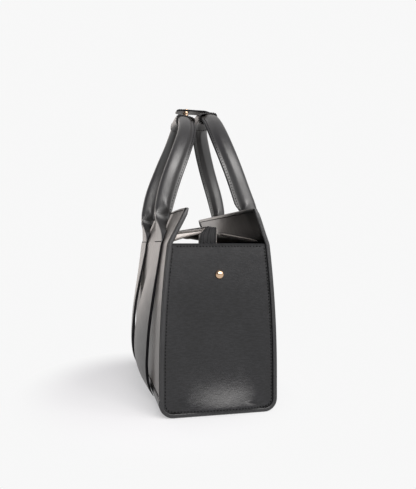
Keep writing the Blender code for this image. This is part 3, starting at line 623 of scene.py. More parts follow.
def cloth(name, colour, roughness, pitch, axes, bump=0.5, **surface):
    """Woven cloth: two crossed sets of threads. axes are the two directions of the threads."""
    material, tree, shader = new_material(name, colour, roughness, **surface)
    scale = pi / (10 * pitch)
    inputs = {"Vector": texture_place(tree), "Scale": scale, "Distortion": 0.4, "Detail": 1.0}
    waves = [node(tree, "TexWave", inputs, "Fac", bands_direction=axis) for axis in axes]
    weave = calculate(tree, "MULTIPLY", *waves)
    tone = ramp(tree, weave, colour, (0.0, 0.55), (1.0, 1.3))
    connect(tree, shader, {"Base Color": tone, "Normal": raised(tree, weave, bump, 0.0003)})
    return material


def plain(name, colour, roughness, metallic=0.0, wear=0.12, bump=0.05, scale=900.0, **surface):
    """Metal, plastic, thread or paint, with faint uneven gloss and tone."""
    material, tree, shader = new_material(name, colour, roughness, metallic, **surface)
    grain = noise(tree, texture_place(tree), scale, 3.0)
    tone = ramp(tree, grain, colour, (0.3, 1 - wear), (0.7, 1 + wear))
    gloss = spread_over(tree, grain, max(0.03, roughness - 0.05), roughness + 0.05)
    relief = raised(tree, grain, bump, 0.0001)
    connect(tree, shader, {"Base Color": tone, "Roughness": gloss, "Normal": relief})
    return material


BODY = leather("body_leather", (0.008, 0.008, 0.009), 0.31, 620.0, 0.16, hatch=0.8, shine=0.45)
WALL = leather("wall_leather", (0.013, 0.012, 0.012), 0.40, 700.0, 0.18, shine=0.48, sheen=0.20)
STRAP = leather("strap_leather", (0.011, 0.0105, 0.0105), 0.42, 760.0, 0.16, shine=0.95, sheen=0.08)
INNER = leather("inner_leather", (0.010, 0.0095, 0.009), 0.32, 760.0, 0.15, bow=0.022)
FLAP = leather("flap_leather", (0.012, 0.0115, 0.011), 0.34, 760.0, 0.2, sheen=0.8)
# The flaps' inner face and the front flap's rim take a painted sheen: a beige that stands in for light
# glancing off the black leather.
FLAP_PAINTED_SHEEN = leather("flap_painted_sheen", (0.42, 0.38, 0.355), 0.7, 900.0, 0.3, sheen=0.3)
# The back flap's rim is a mid grey, lighter than the leather: a painted highlight where light catches its
# lip.
FLAP_EDGE_HIGHLIGHT = plain("flap_edge_painted_highlight", (0.11, 0.10, 0.092), 0.6, bump=0.3, scale=500.0)
EDGE = plain("edge_paint", (0.006, 0.006, 0.007), 0.45, bump=0.25, scale=500.0, shine=0.3)
BINDING = leather("binding_leather", (0.016, 0.016, 0.017), 0.40, 900.0, 0.2)
THREAD = plain("thread", (0.004, 0.004, 0.004), 0.7, bump=0.4, scale=2500.0, shine=0.15)
LINING = cloth("lining_cloth", (0.020, 0.020, 0.022), 0.85, 0.0008, ("X", "Z"))
TAPE = cloth("zip_cloth", (0.018, 0.018, 0.019), 0.8, 0.0009, ("X", "Y"), bump=0.25, sheen=1.0)
TAIL = cloth("tail_cloth", (0.009, 0.009, 0.010), 0.75, 0.0014, ("Y", "Z"), bump=0.7)
TEETH = plain("zip_teeth", (0.02, 0.02, 0.021), 0.35)
GOLD = plain("gold_metal", (0.60, 0.42, 0.28), 0.12, metallic=1.0, wear=0.05, bump=0.02)
BOARD = plain("stiffener_board", (0.12, 0.11, 0.10), 0.8, scale=300.0)
CORD = cloth("handle_cord", (0.05, 0.05, 0.05), 0.8, 0.0012, ("X", "Z"))


# Pieces on their bodies


def ride(made, body, slot, *replaced):
    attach(made, body)
    if replaced:
        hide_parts(*replaced)


def stitches(name, body, slot, path, normals, pitch=0.0036, length=0.0022, radius=0.00055):
    """A row of thread stitches along a path of surface points, which the body carries.

    normals is the surface's direction at each point, or one direction for all of them.
    """
    path = np.asarray(path, float)
    normals = np.broadcast_to(np.asarray(normals, float), path.shape)
    steps = np.linalg.norm(np.diff(path, axis=0), axis=1)
    place = np.concatenate([[0.0], np.cumsum(steps)])
    count = max(1, int(place[-1] / pitch))
    start = (place[-1] - (count - 1) * pitch) / 2

    def at(distance, rows):
        return np.array([np.interp(distance, place, column) for column in rows.T])

    bm = bmesh.new()
    for s in range(count):
        centre = start + s * pitch
        along = at(centre + length / 2, path) - at(centre - length / 2, path)
        along /= max(np.linalg.norm(along), 1e-9)
        rings = []
        for offset, size, lift in STITCH_SHAPE:
            normal = at(centre + offset * length, normals)
            normal /= np.linalg.norm(normal)
            across = np.cross(along, normal)
            across /= np.linalg.norm(across)
            middle = at(centre + offset * length, path) + normal * radius * (lift + 1 - 2 * STITCH_SINK)
            sides = [across * c + normal * s for c, s in circle(STITCH_SIDES)]
            rings.append([bm.verts.new(middle + radius * size * outward) for outward in sides])
        skin(bm, rings)
    ride(finish_mesh(name, bm, [THREAD], 70), body, slot)


# Walls, base and gussets


def wall_heights(low, high, step=0.006):
    count = max(2, round((high - low) / step))
    heights = {low + (high - low) * i / count for i in range(count + 1)}
    heights |= {z for z in np.linspace(*BEND_BAND, 9) if low < z < high}
    return sorted(heights)


def panel_bulge(x, z):
    """How far a wall stands out: a soft wave that is flat at the edges and under the straps."""
    edges = eased(abs(x), WRAP_END, WRAP_END - 0.02) * eased(z, 0.022, 0.042) * eased(z, 0.186, 0.156)
    clear = eased(abs(abs(x) - 0.080), 0.025, 0.040)
    return WALL_WAVE * edges * clear * (0.7 + 0.3 * ripple(x, z, 1.0))


def wall_row(end, count, z, front, depth=0.0):
    """Points along the front or back wall, on a surface that lies depth inside the outer one."""
    y, lengths = wall_y(z, depth), np.linspace(-end, end, count)
    return [(x, front * (y + panel_bulge(x, z)) + wing_shift(x, z), z) for x in lengths]


def make_wall(face, front):
    rows = [wall_row(WRAP_END, 73, z, front) for z in wall_heights(BASE_SEAM, WALL_TOP)]
    wall = sheet(f"{face}_wall", rows, LEATHER, (WALL, EDGE), side=front)
    ride(wall, "bag_body", "body_leather", f"{face}_panel")
    seams = ((WALL_TOP - WALL_SEAM, WING_ANGLE), (BASE_SEAM + BASE_WALL_SEAM, 0.0))
    for number, (z, angle) in enumerate(seams):
        normal = (0.0, front * cos(angle), sin(angle))
        path = wall_row(WALL_SEAM_END, 120, z, front)
        stitches(f"{face}_wall_stitches_{number}", "bag_body", "body_leather", path, normal)
    depth = LEATHER + GAP + FACING_THICKNESS
    heights = wall_heights(0.185, WALL_TOP - 0.0006, 0.004)
    rows = [wall_row(FACING_END, 73, z, front, depth) for z in reversed(heights)]
    facing = sheet(f"{face}_inner_facing", rows, FACING_THICKNESS, (INNER, EDGE), side=front)
    ride(facing, "bag_body", "inner_leather", f"{face}_facing")
    normal = (0.0, -front * cos(WING_ANGLE), -sin(WING_ANGLE))
    path = wall_row(FACING_SEAM_END, 120, WALL_TOP - FACING_SEAM, front, depth)
    stitches(f"{face}_facing_stitches", "bag_body", "inner_leather", path, normal)


def trough(depth, top):
    """Line from the front wall, round the base, to the back wall: (Y, Z)."""
    half = [(wall_y(z, depth), z) for z in reversed(wall_heights(CORNER_RADIUS + 0.001, top))]
    corner, radius = np.array((CORNER_Y, CORNER_RADIUS)), CORNER_RADIUS - depth
    half += [corner + radius * direction(-pi / 2 * i / 12) for i in range(1, 13)]
    middle = [(y, depth) for y in np.linspace(-CORNER_Y, CORNER_Y, 14)[1:-1]]
    return [(-y, z) for y, z in half] + middle + half[::-1]


def make_base():
    lengths = np.linspace(-WRAP_END, WRAP_END, 41)
    rows = [[(x, y, z) for x in lengths] for y, z in trough(0.0, BASE_SEAM - GAP)]
    ride(sheet("base_wrap", rows, LEATHER, (BODY, EDGE)), "bag_body", "body_leather", "base_panel")


def gusset_bulge(y, z):
    """How far a gusset stands out: dished in its middle and flared above the base, most on one side."""
    across = eased(abs(y), 0.060, 0.025)
    dish = GUSSET_DISH * across * eased(z, 0.004, 0.066) * eased(z, 0.148, 0.078)
    middle = hump(y, 0.010, 0.050) * eased(abs(y), 0.058, 0.036)
    rise = eased(z, 0.0026, 0.0058)
    flare = rise * hump(z, -0.004, 0.0255) * (GUSSET_RIM_FLARE + GUSSET_FLARE * middle)
    waves = GUSSET_WAVE * across * ripple(y * 1.4, z, 3.0) * eased(z, 0.185, 0.165)
    fold = GUSSET_FOLD * hump(z, GUSSET_TOP, 0.0012) * eased(abs(y), 0.056, 0.052)
    return flare + waves + fold - dish


def make_gusset(hand, side):
    depth = LEATHER + GAP
    radius = CORNER_RADIUS - depth
    heights = [depth + 0.0001] + [depth + radius * (1 - cos(pi / 2 * i / 7)) for i in range(1, 8)]
    heights += list(np.linspace(0.0170, GUSSET_TOP - 0.003, 52))
    heights += [GUSSET_TOP - step for step in (0.0022, 0.0014, 0.0007, 0.0)]

    def place(y, z, proud=0.0):
        return (side * (WRAP_END + gusset_bulge(y, z) + proud), y, z)

    rows = []
    for z in heights:
        half = wall_y(z, depth)
        shares = np.linspace(-1, 1, 45)
        if z < 0.012:
            shares = np.sin(shares * pi / 2)
        rows.append([place(half * s, z) for s in shares])
    gusset = sheet(f"{hand}_end_panel", rows, GUSSET_THICKNESS, (BODY, BODY), side=-side)
    ride(gusset, "bag_body", "body_leather", f"{hand}_gusset")
    facing = (side * 1.0, 0.0, 0.0)
    proud = 0.00005
    path = [place(y, z, proud) for y, z in trough(GUSSET_SEAM, GUSSET_TOP - 0.0035)]
    stitches(f"{hand}_gusset_stitches", "bag_body", "body_leather", path, facing)
    path = [place(y, GUSSET_TOP - HEM_SEAM, proud) for y in np.linspace(-HEM_SEAM_END, HEM_SEAM_END, 60)]
    stitches(f"{hand}_hem_stitches", "bag_body", "body_leather", path, facing)


def make_binding(hand, side):
    """Rounded trim along the whole edge of an end, from one rim round the base to the other."""
    line = np.array(trough(BINDING_DEPTH, WALL_TOP - 0.0012))
    outline = rounded_rectangle(BINDING_HALF_WIDTH, BINDING_HALF_THICKNESS, BINDING_CORNER)
    rings = []
    for index, ((y, z), (ty, tz)) in enumerate(zip(line, unit_tangents(line))):
        size = 0.45 if index in (0, len(line) - 1) else 1.0
        y += wing_shift(side * END_X, z)
        ring = [(a * size, END_X - BINDING_HALF_THICKNESS + b * size) for a, b in outline]
        rings.append([(side * x, y - tz * across, z + ty * across) for across, x in ring])
    binding = loft(f"{hand}_edge_trim", rings, BINDING, 60)
    ride(binding, "bag_body", "edge_trim", f"{hand}_edge_binding")


def dome(radius, base, rise, count):
    """Profile of a domed head, from its rim almost to its middle: (radius, distance along the axis)."""
    return [(radius * cos(a), base + rise * sin(a)) for a in np.linspace(0, 1.5, count)]


def make_stud(hand, side):
    face = WRAP_END + 0.0002
    rows = [(STUD_SHANK, STUD_SHANK_END), (STUD_SHANK, face), (STUD_RADIUS - 0.0002, face)]
    rows += [(STUD_RADIUS, face + 0.0003), *dome(STUD_RADIUS, face + 0.0006, STUD_RISE, 14)]
    stud = turned(f"{hand}_dome_stud", [(r, side * x) for r, x in rows], (0, 0, STUD_HEIGHT), "X", GOLD)
    ride(stud, "bag_body", "gold_metal", f"{hand}_side_stud")


def make_lining():
    depth = LEATHER + GAP + LINING_GAP
    cloths = (LINING, LINING)
    line = [(y, z + LINING_LIFT if z < 0.02 else z) for y, z in trough(depth, LINING_TOP)]
    rows = [[(x, y, z) for x in np.linspace(-LINING_END, LINING_END, 41)] for y, z in line]
    ride(sheet("lining_wrap", rows, LINING_THICKNESS, cloths, side=-1), "bag_body", "lining_cloth", "lining")
    low = [depth + LINING_LIFT + 0.012 * (1 - cos(a)) for a in np.linspace(0.02, pi / 2, 7)]
    for hand, side in HANDS:
        rows = []
        for z in low + list(np.linspace(0.022, LINING_TOP, 24)):
            half = wall_y(z - (LINING_LIFT if z < 0.02 else 0.0), depth) - 0.0002
            rows.append([(side * LINING_END, half * s, z) for s in np.linspace(-1, 1, 21)])
        end = sheet(f"{hand}_lining_end", rows, LINING_THICKNESS, cloths, side=side)
        ride(end, "bag_body", "lining_cloth")


# Straps and handles


def tent_half(half_face, half_edge, face, edge):
    """Half of a fold's section, from its edge on the wall to its middle: (sideways, outward)."""
    start, corner = np.array((half_edge, edge)), np.array((half_face, face))
    third, beyond = start + (corner - start) * 0.40, start + (corner - start) * 0.78
    ends = [start, third, beyond, corner, np.array((half_face / 2, face)), np.array((0.0, face))]
    points = [a + (b - a) * k / SEGMENT_STEPS for a, b in zip(ends, ends[1:]) for k in range(SEGMENT_STEPS)]
    points = np.array(points + [ends[-1]])
    points[1:-1] = 0.25 * points[:-2] + 0.5 * points[1:-1] + 0.25 * points[2:]
    return points


def leg_half(scale):
    """Half of the folded section, from its seam to its fold: (sideways, outward)."""
    width, thick, seam = BAND_HALF_WIDTH * scale, BAND_HALF_THICKNESS * scale, SEAM_HALF_THICKNESS
    controls = (-1.0, -0.66, -0.30, 0.18, 0.76, 1.0)
    round_start = 0.15
    made = []
    for a, b in zip(controls, controls[1:]):
        for k in range(SEGMENT_STEPS):
            t = k / SEGMENT_STEPS
            if b == controls[-1]:
                t = sin(pi / 2 * t)
            q = a + (b - a) * t
            if q < round_start:
                x = seam + (thick - seam) * eased(q, -0.66, -0.04)
            else:
                fall = ((q - round_start) / (1 - round_start)) ** SECTION_POWER
                x = thick * max(0.0, 1 - fall) ** (1 / SECTION_POWER)
            made.append((x, q * width))
    return np.array(made + [(0.0, width)])


def whole_section(half):
    return np.concatenate([half, (half[:-1] * (-1, 1))[::-1]])


def handle_scale(x):
    return APEX_SCALE + (1 - APEX_SCALE) * eased(abs(x), 0.0, APEX_SCALE_SPAN)


def handle_frames(leans, apex):
    """Place, outward and sideways direction along a handle, with Y as distance from the middle."""
    half = [(STRAP_X, z) for z in LEG_HEIGHTS]
    for i in range(ARCH_STEPS + 1):
        a = pi / 2 * i / ARCH_STEPS
        half.append((STRAP_X * cos(a), LEG_TOP + (apex - LEG_TOP) * sin(a)))
    whole = half + [(-x, z) for x, z in reversed(half[:-1])]
    path = np.array([(x, table_value(leans[x < 0], z), z) for x, z in whole])
    frames = []
    for i, point in enumerate(path):
        lean = leans[point[0] < 0]
        low, high = np.clip((point[2] - 0.0005, point[2] + 0.0005), lean[0][0], lean[-1][0])
        slope = (table_value(lean, high) - table_value(lean, low)) / (high - low)
        outward = np.array((0.0, 1.0, -slope))
        outward /= np.linalg.norm(outward)
        along = path[min(i + 1, len(path) - 1)] - path[max(i - 1, 0)]
        sideways = np.cross(along / np.linalg.norm(along), outward)
        frames.append((point, outward, sideways))
    return frames


def leg_wrinkle(point):
    """Small uneven swelling of the padded legs, with a pinch where the padding ends."""
    waves = LEG_WAVE * ripple(point[0] * 0.7, point[2] * 1.6, 1.0)
    return (waves - LEG_PINCH * hump(point[2], 0.2365, 0.0035)) * eased(point[2], 0.2300, 0.2340)


def strap_side(face, hand):
    """Rows of one strap and its folded top, on the side of positive X and positive Y."""
    half_face, half_edge = FOLD_STATIONS[0][1:3]
    fractions = whole_section(tent_half(half_face, half_edge, 0.0, 0.0))[:, 0] / half_edge
    rows = []
    for z, outer_x, outer_off, inner_x, even_off, bowed_off in STRAP_STATIONS:
        inner_off = bowed_off if (face, hand) == BOWED_STRAP else even_off
        surface = wall_y(z) + GAP + STRAP_THICKNESS - STRAP_SKIVE * eased(z, 0.017, 0.007)
        crown = STRAP_CROWN * min(1.0, (outer_off + inner_off) / 0.01)
        x = (outer_x + inner_x) / 2 + fractions * (outer_x - inner_x) / 2
        off = (outer_off + inner_off) / 2 + fractions * (outer_off - inner_off) / 2
        rows.append(np.stack([x, surface + off + crown * (1 - fractions**2), np.full_like(x, z)], axis=1))
    for z, half_face, half_edge, out in FOLD_STATIONS:
        edge = wall_y(min(z, WALL_TOP)) + GAP + BAND_THICKNESS
        section = whole_section(tent_half(half_face, half_edge, out, edge))
        rows.append(np.array([(STRAP_X + x, y, z) for x, y in section]))
    return rows


def handle_rows(face, leans, apex):
    """Outer surface of a handle and its two straps, from one strap's foot to the other's."""
    legs = []
    for place, outward, sideways in handle_frames(leans, apex):
        section = whole_section(leg_half(handle_scale(place[0])))
        swell = 1 + leg_wrinkle(place) / BAND_HALF_THICKNESS
        legs.append(np.array([place - sideways * x * swell + outward * y for x, y in section]))
    mirror = [row * (-1, 1, 1) for row in reversed(strap_side(face, "left"))]
    return np.array(strap_side(face, "right") + legs + mirror)


def band_thickness(rows):
    """Leather's thickness in each row: thickest where the strap stands off, thin in the handle."""
    height = rows[:, :, 2].mean(axis=1)
    strap = (STRAP_THICKNESS - BAND_THICKNESS) * eased(height, 0.196, 0.184)
    free = STRAP_SWELL * eased(height, 0.015, 0.035) * eased(height, 0.155, 0.125)
    return BAND_THICKNESS + strap + free - STRAP_SKIVE * eased(height, 0.017, 0.007)


def soften_ends(rows):
    """The same rows with the padded legs running gradually into the folded straps."""
    height = rows[:, :, 2].mean(axis=1)
    share = eased(height, 0.214, 0.224) * eased(height, 0.266, 0.254)
    for _ in range(SOFTENING_PASSES):
        change = 0.25 * rows[:-2] + 0.25 * rows[2:] - 0.5 * rows[1:-1]
        rows[1:-1] += share[1:-1, None, None] * change
    return rows


def slant_ends(rows, front):
    """The same rows with the padding's lower end slanting down to the wall, behind a raised crease."""
    columns = rows.shape[1]
    side = np.minimum(np.arange(columns), np.arange(columns)[::-1])
    crease = CREASE_RISE * eased(side, 10.5, 7.0) * eased(side, -0.5, 1.5)
    crease = crease * hump(rows[:, :, 2], CREASE_HEIGHT, CREASE_WIDTH)
    rows = rows + grid_normals(rows) * -front * crease[:, :, None]
    height = rows[:, :, 2]
    share = eased(height, 0.196, 0.238) * eased(height, 0.270, 0.240)
    drop = SLANT_DROP * np.clip(1 - side / SLANT_COLUMNS, 0.0, 1.0) * share
    height -= drop
    rows[:, :, 1] += front * SLANT_OUTWARD * drop
    folded = (height > 0.205) & (height < 0.245)
    for i, j in zip(*np.nonzero(folded)):
        z = height[i, j]
        nearest = wall_y(min(z, WALL_TOP)) + GAP + BAND_THICKNESS - max(0.0, z - WALL_TOP)
        rows[i, j, 1] = front * max(front * rows[i, j, 1], nearest)
    return rows


def blend_to_handle(made):
    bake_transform(made)


def make_handle(face, front, leans, apex):
    rows = finer(handle_rows(face, leans, apex), 0.0042, (0.198, 0.256)) * (1, front, 1)
    rows = slant_ends(soften_ends(rows), front)
    band = sheet(f"{face}_strap_and_handle", rows, band_thickness(rows), (STRAP, EDGE), side=-front)
    blend_to_handle(band)
    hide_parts(f"{face}_handle_band", f"{face}_right_strap", f"{face}_left_strap")

    normal = grid_normals(rows) * -front
    surface = front * (wall_y(STRAP_ROW_HEIGHT) + GAP + STRAP_THICKNESS + 0.0003)
    angle = WING_ANGLE * 0.7
    for hand, side in HANDS:
        on_side = rows[:, rows.shape[1] // 2, 0] * side > 0.030
        leg = (rows[:, :, 2].mean(axis=1) > 0.238) & on_side
        for edge, column in (("near", 2), ("far", -3)):
            name = f"{face}_{hand}_seam_stitches_{edge}"
            path, facing = rows[leg, column], normal[leg, column]
            stitches(name, f"{face}_handle", "strap_leather", path, facing, length=0.0018, radius=0.0006)
        path = [(side * x, surface, STRAP_ROW_HEIGHT) for x in np.linspace(*STRAP_ROW, 30)]
        facing = (0.0, front * cos(angle), sin(angle))
        stitches(f"{face}_{hand}_strap_row", "bag_body", "strap_leather", path, facing)
    make_sleeve(face, front, leans, apex)


def make_sleeve(face, front, leans, apex):
    """Leather sleeve round the top of a handle."""
    places = [f for f in handle_frames(leans, apex) if abs(f[0][0]) <= SLEEVE_HALF_LENGTH]
    outline = [[copysign(abs(v) ** SLEEVE_POWER, v) for v in point] for point in circle(32, 0.5)]
    skins = []
    for margin in (GAP + SLEEVE_THICKNESS, GAP * 1.5):
        rings = []
        for place, outward, sideways in places:
            scale = handle_scale(place[0])
            width, thick = BAND_HALF_WIDTH * scale + margin, BAND_HALF_THICKNESS * scale + margin
            ring = [place + outward * (a * width) - sideways * (b * thick) for a, b in outline]
            rings.append(np.array(ring) * (1, front, 1))
        skins.append(finer(rings, 0.0035))
    outer, inner = skins
    middle = (outer + inner) / 2
    for layer in skins:
        layer[[0, -1]] = layer[[0, -1]] * 0.8 + layer[[1, -2]] * 0.2
    rings = [middle[0], *outer, middle[-1], *inner[::-1]]
    sleeve = loft(f"{face}_sleeve", rings, STRAP, 60, closed=True)
    ride(sleeve, f"{face}_handle", "strap_leather", f"{face}_grip_sleeve")
    for number, ring in ((0, outer[1]), (1, outer[-2])):
        path = np.concatenate([ring, ring[:1]])
        name = f"{face}_sleeve_stitches_{number}"
        facing = path - ring.mean(axis=0)
        stitches(name, f"{face}_handle", "strap_leather", path, facing, pitch=0.0030, length=0.0021)


# Tab and snaps


def tab_half_width(y):
    """Half length of the tab along X at a distance from its tip, with round corners."""
    into_corner = max(0.0, TAB_CORNER - (y - TAB_TIP))
    return TAB_HALF_LENGTH - TAB_CORNER + sqrt(TAB_CORNER**2 - into_corner**2)


def make_tab():
    stations = [TAB_TIP + step for step in (0.00005, 0.0006, 0.0018, 0.0036, 0.006)]
    stations += list(np.linspace(TAB_TIP + 0.009, TAB_BASE_END + 0.0015, 17))
    rows = []
    for y in stations:
        drop = TAB_BASE_DROP * eased(y, 0.012, 0.030) + TAB_TIP_DROP * eased(y, -0.018, -0.030)
        lengths = [tab_half_width(y) * s for s in np.linspace(-1, 1, 21)]
        rows.append([(x, y, TAB_TOP - drop + TAB_WAVE * ripple(x, y, 2.0)) for x in lengths])
    tab = sheet("snap_tab_strip", rows, TAB_THICKNESS, (STRAP, EDGE), side=-1)
    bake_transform(tab)
    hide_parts("snap_tab", "tab_base")
    ys = np.linspace(TAB_TIP + TAB_SEAM, 0.0000, 26)
    right = [(tab_half_width(y) - TAB_SEAM, y, TAB_TOP) for y in ys]
    tip = [(x, TAB_TIP + TAB_SEAM, TAB_TOP) for x in np.linspace(-0.004, 0.004, 5)]
    path = [(-x, y, z) for x, y, z in reversed(right)] + tip + right
    stitches("snap_tab_stitches", "snap_tab", "strap_leather", path, (0, 0, 1.0), pitch=0.0028, length=0.002)
    top = TAB_TOP + 0.0001
    rows = [(SNAP_SHANK, TAB_LOW), (SNAP_SHANK, top), (SNAP_RADIUS - 0.0001, top)]
    rows += dome(SNAP_RADIUS, top + 0.0004, SNAP_RISE, 10)
    for hand, side in HANDS:
        cap = turned(f"{hand}_snap_dome", rows, (side * SNAP_X, SNAP_Y, 0), "Z", GOLD)
        ride(cap, "snap_tab", "gold_metal", f"{hand}_snap_cap")


# Zip closure


def make_flap(face, front, line, rim):
    profile = finer([(front * FLAP_HINGE[0], FLAP_HINGE[1]), *line], 0.003)
    tangent = unit_tangents(profile)
    up = np.stack([-tangent[:, 1], tangent[:, 0]], axis=1) * (1 if tangent[0, 0] > 0 else -1)
    rows = []
    for k, ((y, z), (ny, nz)) in enumerate(zip(profile, up)):
        inside = sin(pi * k / (len(profile) - 1))
        row = []
        for x in np.linspace(-FLAP_END, FLAP_END, 61):
            lift = FLAP_THICKNESS / 2 + FLAP_WAVE * inside * (0.4 + ripple(x, y * 2, 4.0))
            row.append((x, y + ny * lift, z + nz * lift))
        rows.append(row)
    # The inner face takes a painted beige sheen. The rim takes a painted sheen on the front flap and a
    # painted highlight on the back one.
    flap = sheet(f"{face}_closure_flap", rows, FLAP_THICKNESS, (FLAP, rim, FLAP_PAINTED_SHEEN), side=front, rim=0.55)
    ride(flap, f"{face}_zip_flap", "inner_leather", f"{face}_zip_flap")
    y, z = profile[-2] + up[-2] * (FLAP_THICKNESS / 2 + 0.0001)
    path = [(x, y, z) for x in np.linspace(-FLAP_SEAM_END, FLAP_SEAM_END, 100)]
    stitches(f"{face}_flap_stitches", f"{face}_zip_flap", "inner_leather", path, (0.0, *up[-2]))


def make_tape(face, front, line):
    end, before = np.array(line[-1]), np.array(line[-2])
    along = (end - before) / np.linalg.norm(end - before)
    down = np.array((0.0, -(FLAP_THICKNESS / 2 + GAP + TAPE_THICKNESS / 2)))
    top = np.array((RIDGE_Y + front * RAIL_OFFSET, RIDGE_Z - TEETH_HEIGHT / 2 - GAP - TAPE_THICKNESS / 2))
    profile = finer([end - along * 0.006 + down, end + down + along * 0.0014, top], 0.0012)
    lengths = np.linspace(TEETH_START[face], TEETH_END, 50)
    rows = [[(x, y, z + TAPE_THICKNESS / 2) for x in lengths] for y, z in profile]
    tape = sheet(f"{face}_tape_strip", rows, TAPE_THICKNESS, (TAPE, TAPE), side=front)
    ride(tape, f"{face}_zip_flap", "zip_cloth", f"{face}_zip_tape")


def make_teeth(face, front, phase):
    """A row of zip teeth: a cord along the tape's edge with a rounded block for each tooth."""
    bm = bmesh.new()

    def block(x0, x1, ya, yb, z0, z1, chamfer):
        y0, y1 = min(ya, yb), max(ya, yb)
        rings = []
        for z, inset in ((z0, chamfer), (z0 + chamfer, 0.0), (z1 - chamfer, 0.0), (z1, chamfer)):
            left, right, near, far = x0 + inset, x1 - inset, y0 + inset, y1 - inset
            corners = ((left, near), (right, near), (right, far), (left, far))
            rings.append([bm.verts.new((x, y, z)) for x, y in corners])
        skin(bm, rings)

    low, high = RIDGE_Z - TEETH_HEIGHT / 2, RIDGE_Z + TEETH_HEIGHT / 2
    inner, outer = RIDGE_Y + front * TEETH_CORD[0], RIDGE_Y + front * TEETH_CORD[1]
    block(TEETH_START[face], TEETH_END, inner, outer, low + 0.0003, high - 0.0003, 0.0003)
    tip, root = inner - front * TOOTH_REACH, inner + front * TOOTH_ROOT
    x = TEETH_START["front"] + TOOTH_PITCH * (0.5 + phase)
    while x + TOOTH_HALF_LENGTH < TEETH_END - GAP:
        block(x - TOOTH_HALF_LENGTH, x + TOOTH_HALF_LENGTH, tip, root, low, high, 0.00035)
        x += TOOTH_PITCH
    made = finish_mesh(f"{face}_teeth", bm, [TEETH], 30)
    ride(made, f"{face}_zip_flap", "zip_teeth", f"{face}_zip_teeth")


def make_tail():
    """Folded end of the zip tape, with ribs along it."""
    spread = np.linspace(-1, 1, TAIL_COLUMNS)
    rows = finer([[(x, y + half * s, z) for s in spread] for x, z, half, y in TAIL_LINE], 0.0025)
    tangent = unit_tangents(rows[:, TAIL_COLUMNS // 2])
    outward = np.stack([-tangent[:, 2], tangent[:, 1] * 0, tangent[:, 0]], axis=1)
    for j, s in enumerate(abs(spread)):
        rib = TAIL_RIB * (1 - s**4) * (0.5 + 0.5 * cos(16 * s)) * eased(rows[:, j, 0], 0.131, 0.136)
        rows[:, j] += outward * (TAIL_THICKNESS / 2 - 0.0002 + rib[:, None])
    shoulder = SHOULDER_Z + (rows[:, :, 1] - SHOULDER_Y) * SHOULDER_RISE
    rows[:, :, 2] = np.minimum(rows[:, :, 2], np.maximum(shoulder, SHOULDER_Z))
    tail = sheet("zip_tail_strip", rows, TAIL_THICKNESS * 0.9, (TAIL, TAPE))
    ride(tail, "back_zip_flap", "zip_cloth", "zip_tail")
    normals = grid_normals(rows)
    sizes = {"pitch": 0.0026, "length": 0.0019, "radius": 0.0003}
    for number, column in ((0, 3), (1, TAIL_COLUMNS - 4)):
        name = f"zip_tail_stitches_{number}"
        stitches(name, "back_zip_flap", "zip_cloth", rows[5:-1, column], normals[5:-1, column], **sizes)


# Studio


def make_floor():
    """Pale floor whose outer part takes the backdrop's white."""
    bm = bmesh.new()
    centre = bm.verts.new((0, 0, 0))
    rings = [[bm.verts.new((r * c, r * s, 0)) for c, s in circle(FLOOR_SIDES)] for r in FLOOR_RINGS]
    sides = [(k, (k + 1) % FLOOR_SIDES) for k in range(FLOOR_SIDES)]
    for k, j in sides:
        bm.faces.new((centre, rings[0][k], rings[0][j]))
    for low, high in zip(rings, rings[1:]):
        for k, j in sides:
            bm.faces.new((low[k], high[k], high[j], low[j]))
    material, tree, shader = new_material("pale_floor", (0.93, 0.93, 0.94), 0.9, shine=0.1)
    white = node(tree, "Emission", {"Color": BACKDROP, "Strength": 1.0})
    place = node(tree, "TexCoord", output="Object")
    inputs = {"Vector": place, "Location": (*FLOOR_MIDDLE, 0.0), "Scale": (*FLOOR_REACH, 1.0)}
    place = node(tree, "Mapping", inputs, vector_type="TEXTURE")
    distance = node(tree, "VectorMath", {0: place}, "Value", operation="LENGTH")
    inputs = {"Value": distance, "From Min": FLOOR_FADE[0], "From Max": FLOOR_FADE[1], "To Min": 0.45}
    fade = node(tree, "MapRange", inputs, interpolation_type="SMOOTHSTEP")
    mix = node(tree, "MixShader", {0: fade, 1: shader.outputs["BSDF"], 2: white})
    connect(tree, tree.nodes["Material Output"], {"Surface": mix})
    floor = finish_mesh("floor", bm, [material])
    floor.location.z = -0.0002


def make_world():
    """White to the camera and in reflections of what is behind, and a softer even light elsewhere."""
    world = bpy.data.worlds.new("studio")
    bpy.context.scene.world = world
    world.use_nodes = True
    tree = world.node_tree
    soft = tree.nodes["Background"]
    connect(tree, soft, {"Color": (0.90, 0.89, 1.0, 1.0), "Strength": AMBIENT})
    white = node(tree, "Background", {"Color": BACKDROP, "Strength": 1.0})
    ray = tree.nodes.new("ShaderNodeLightPath").outputs
    along = node(tree, "SeparateXYZ", {"Vector": node(tree, "TexCoord", output="Generated")})
    inputs = {"Value": along, "From Min": 0.2, "From Max": -0.8}
    behind = node(tree, "MapRange", inputs, interpolation_type="SMOOTHSTEP")
    share = calculate(tree, "MULTIPLY", ray["Is Glossy Ray"], behind)
    share = calculate(tree, "MAXIMUM", ray["Is Camera Ray"], share)
    share = calculate(tree, "MAXIMUM", share, ray["Is Transmission Ray"])
    mix = node(tree, "MixShader", {0: share, 1: soft.outputs["Background"], 2: white})
    connect(tree, tree.nodes["World Output"], {"Surface": mix})


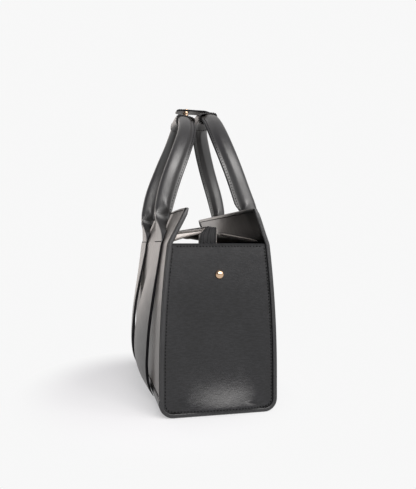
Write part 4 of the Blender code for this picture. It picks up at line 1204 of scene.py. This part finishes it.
def aimed(name, data, place, forward):
    """A lamp or camera at a place, looking forward."""
    made = bpy.data.objects.new(name, data)
    made.location = place
    made.rotation_euler = forward.to_track_quat("-Z", "Y").to_euler()
    bpy.context.scene.collection.objects.link(made)
    return made


def make_lights():
    for name, place, target, size, power, colour in LIGHTS:
        light = bpy.data.lights.new(name, "AREA")
        light.shape = "RECTANGLE"
        light.size, light.size_y = size
        light.energy = power
        light.color = colour
        aimed(name, light, place, Vector(target) - Vector(place)).visible_camera = False


def make_camera():
    data = bpy.data.cameras.new("camera")
    data.lens = CAMERA_LENS
    data.sensor_width = 36.0
    data.clip_start = 0.01
    forward = Vector(CAMERA_FORWARD).normalized()
    bpy.context.scene.camera = aimed("camera", data, CAMERA_PLACE, forward)


def dress_kept_nodes():
    """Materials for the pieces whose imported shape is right."""
    fittings = ("stud_washer", "snap_stud", "snap_socket")
    metal = [f"{hand}_{fitting}" for hand, _ in HANDS for fitting in fittings]
    for material, names in (
        (BOARD, ["base_board"]),
        (CORD, ["front_handle_core", "back_handle_core"]),
        (GOLD, [*metal, "zip_slider", "zip_pull"]),
    ):
        for name in names:
            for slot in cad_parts[name].material_slots:
                slot.material = material


def main():
    bpy.context.scene.view_settings.view_transform = "Standard"
    for face, front, leans, apex in (
        ("front", -1, (FRONT_LEAN, FRONT_LEAN), FRONT_APEX),
        ("back", 1, (BACK_LEAN, BACK_LEFT_LEAN), BACK_APEX),
    ):
        make_wall(face, front)
        make_handle(face, front, leans, apex)
    make_base()
    make_lining()
    for hand, side in HANDS:
        make_gusset(hand, side)
        make_binding(hand, side)
        make_stud(hand, side)
    make_tab()
    # Rims of the flaps: a painted sheen on the front one and a painted highlight on the back one.
    for face, front, line, phase, rim in (
        ("front", -1, FRONT_FLAP_LINE, 0.0, FLAP_PAINTED_SHEEN),
        ("back", 1, BACK_FLAP_LINE, 0.5, FLAP_EDGE_HIGHLIGHT),
    ):
        make_flap(face, front, line, rim)
        make_tape(face, front, line)
        make_teeth(face, front, phase)
    make_tail()
    dress_kept_nodes()
    make_floor()
    make_world()
    make_lights()
    make_camera()


main()
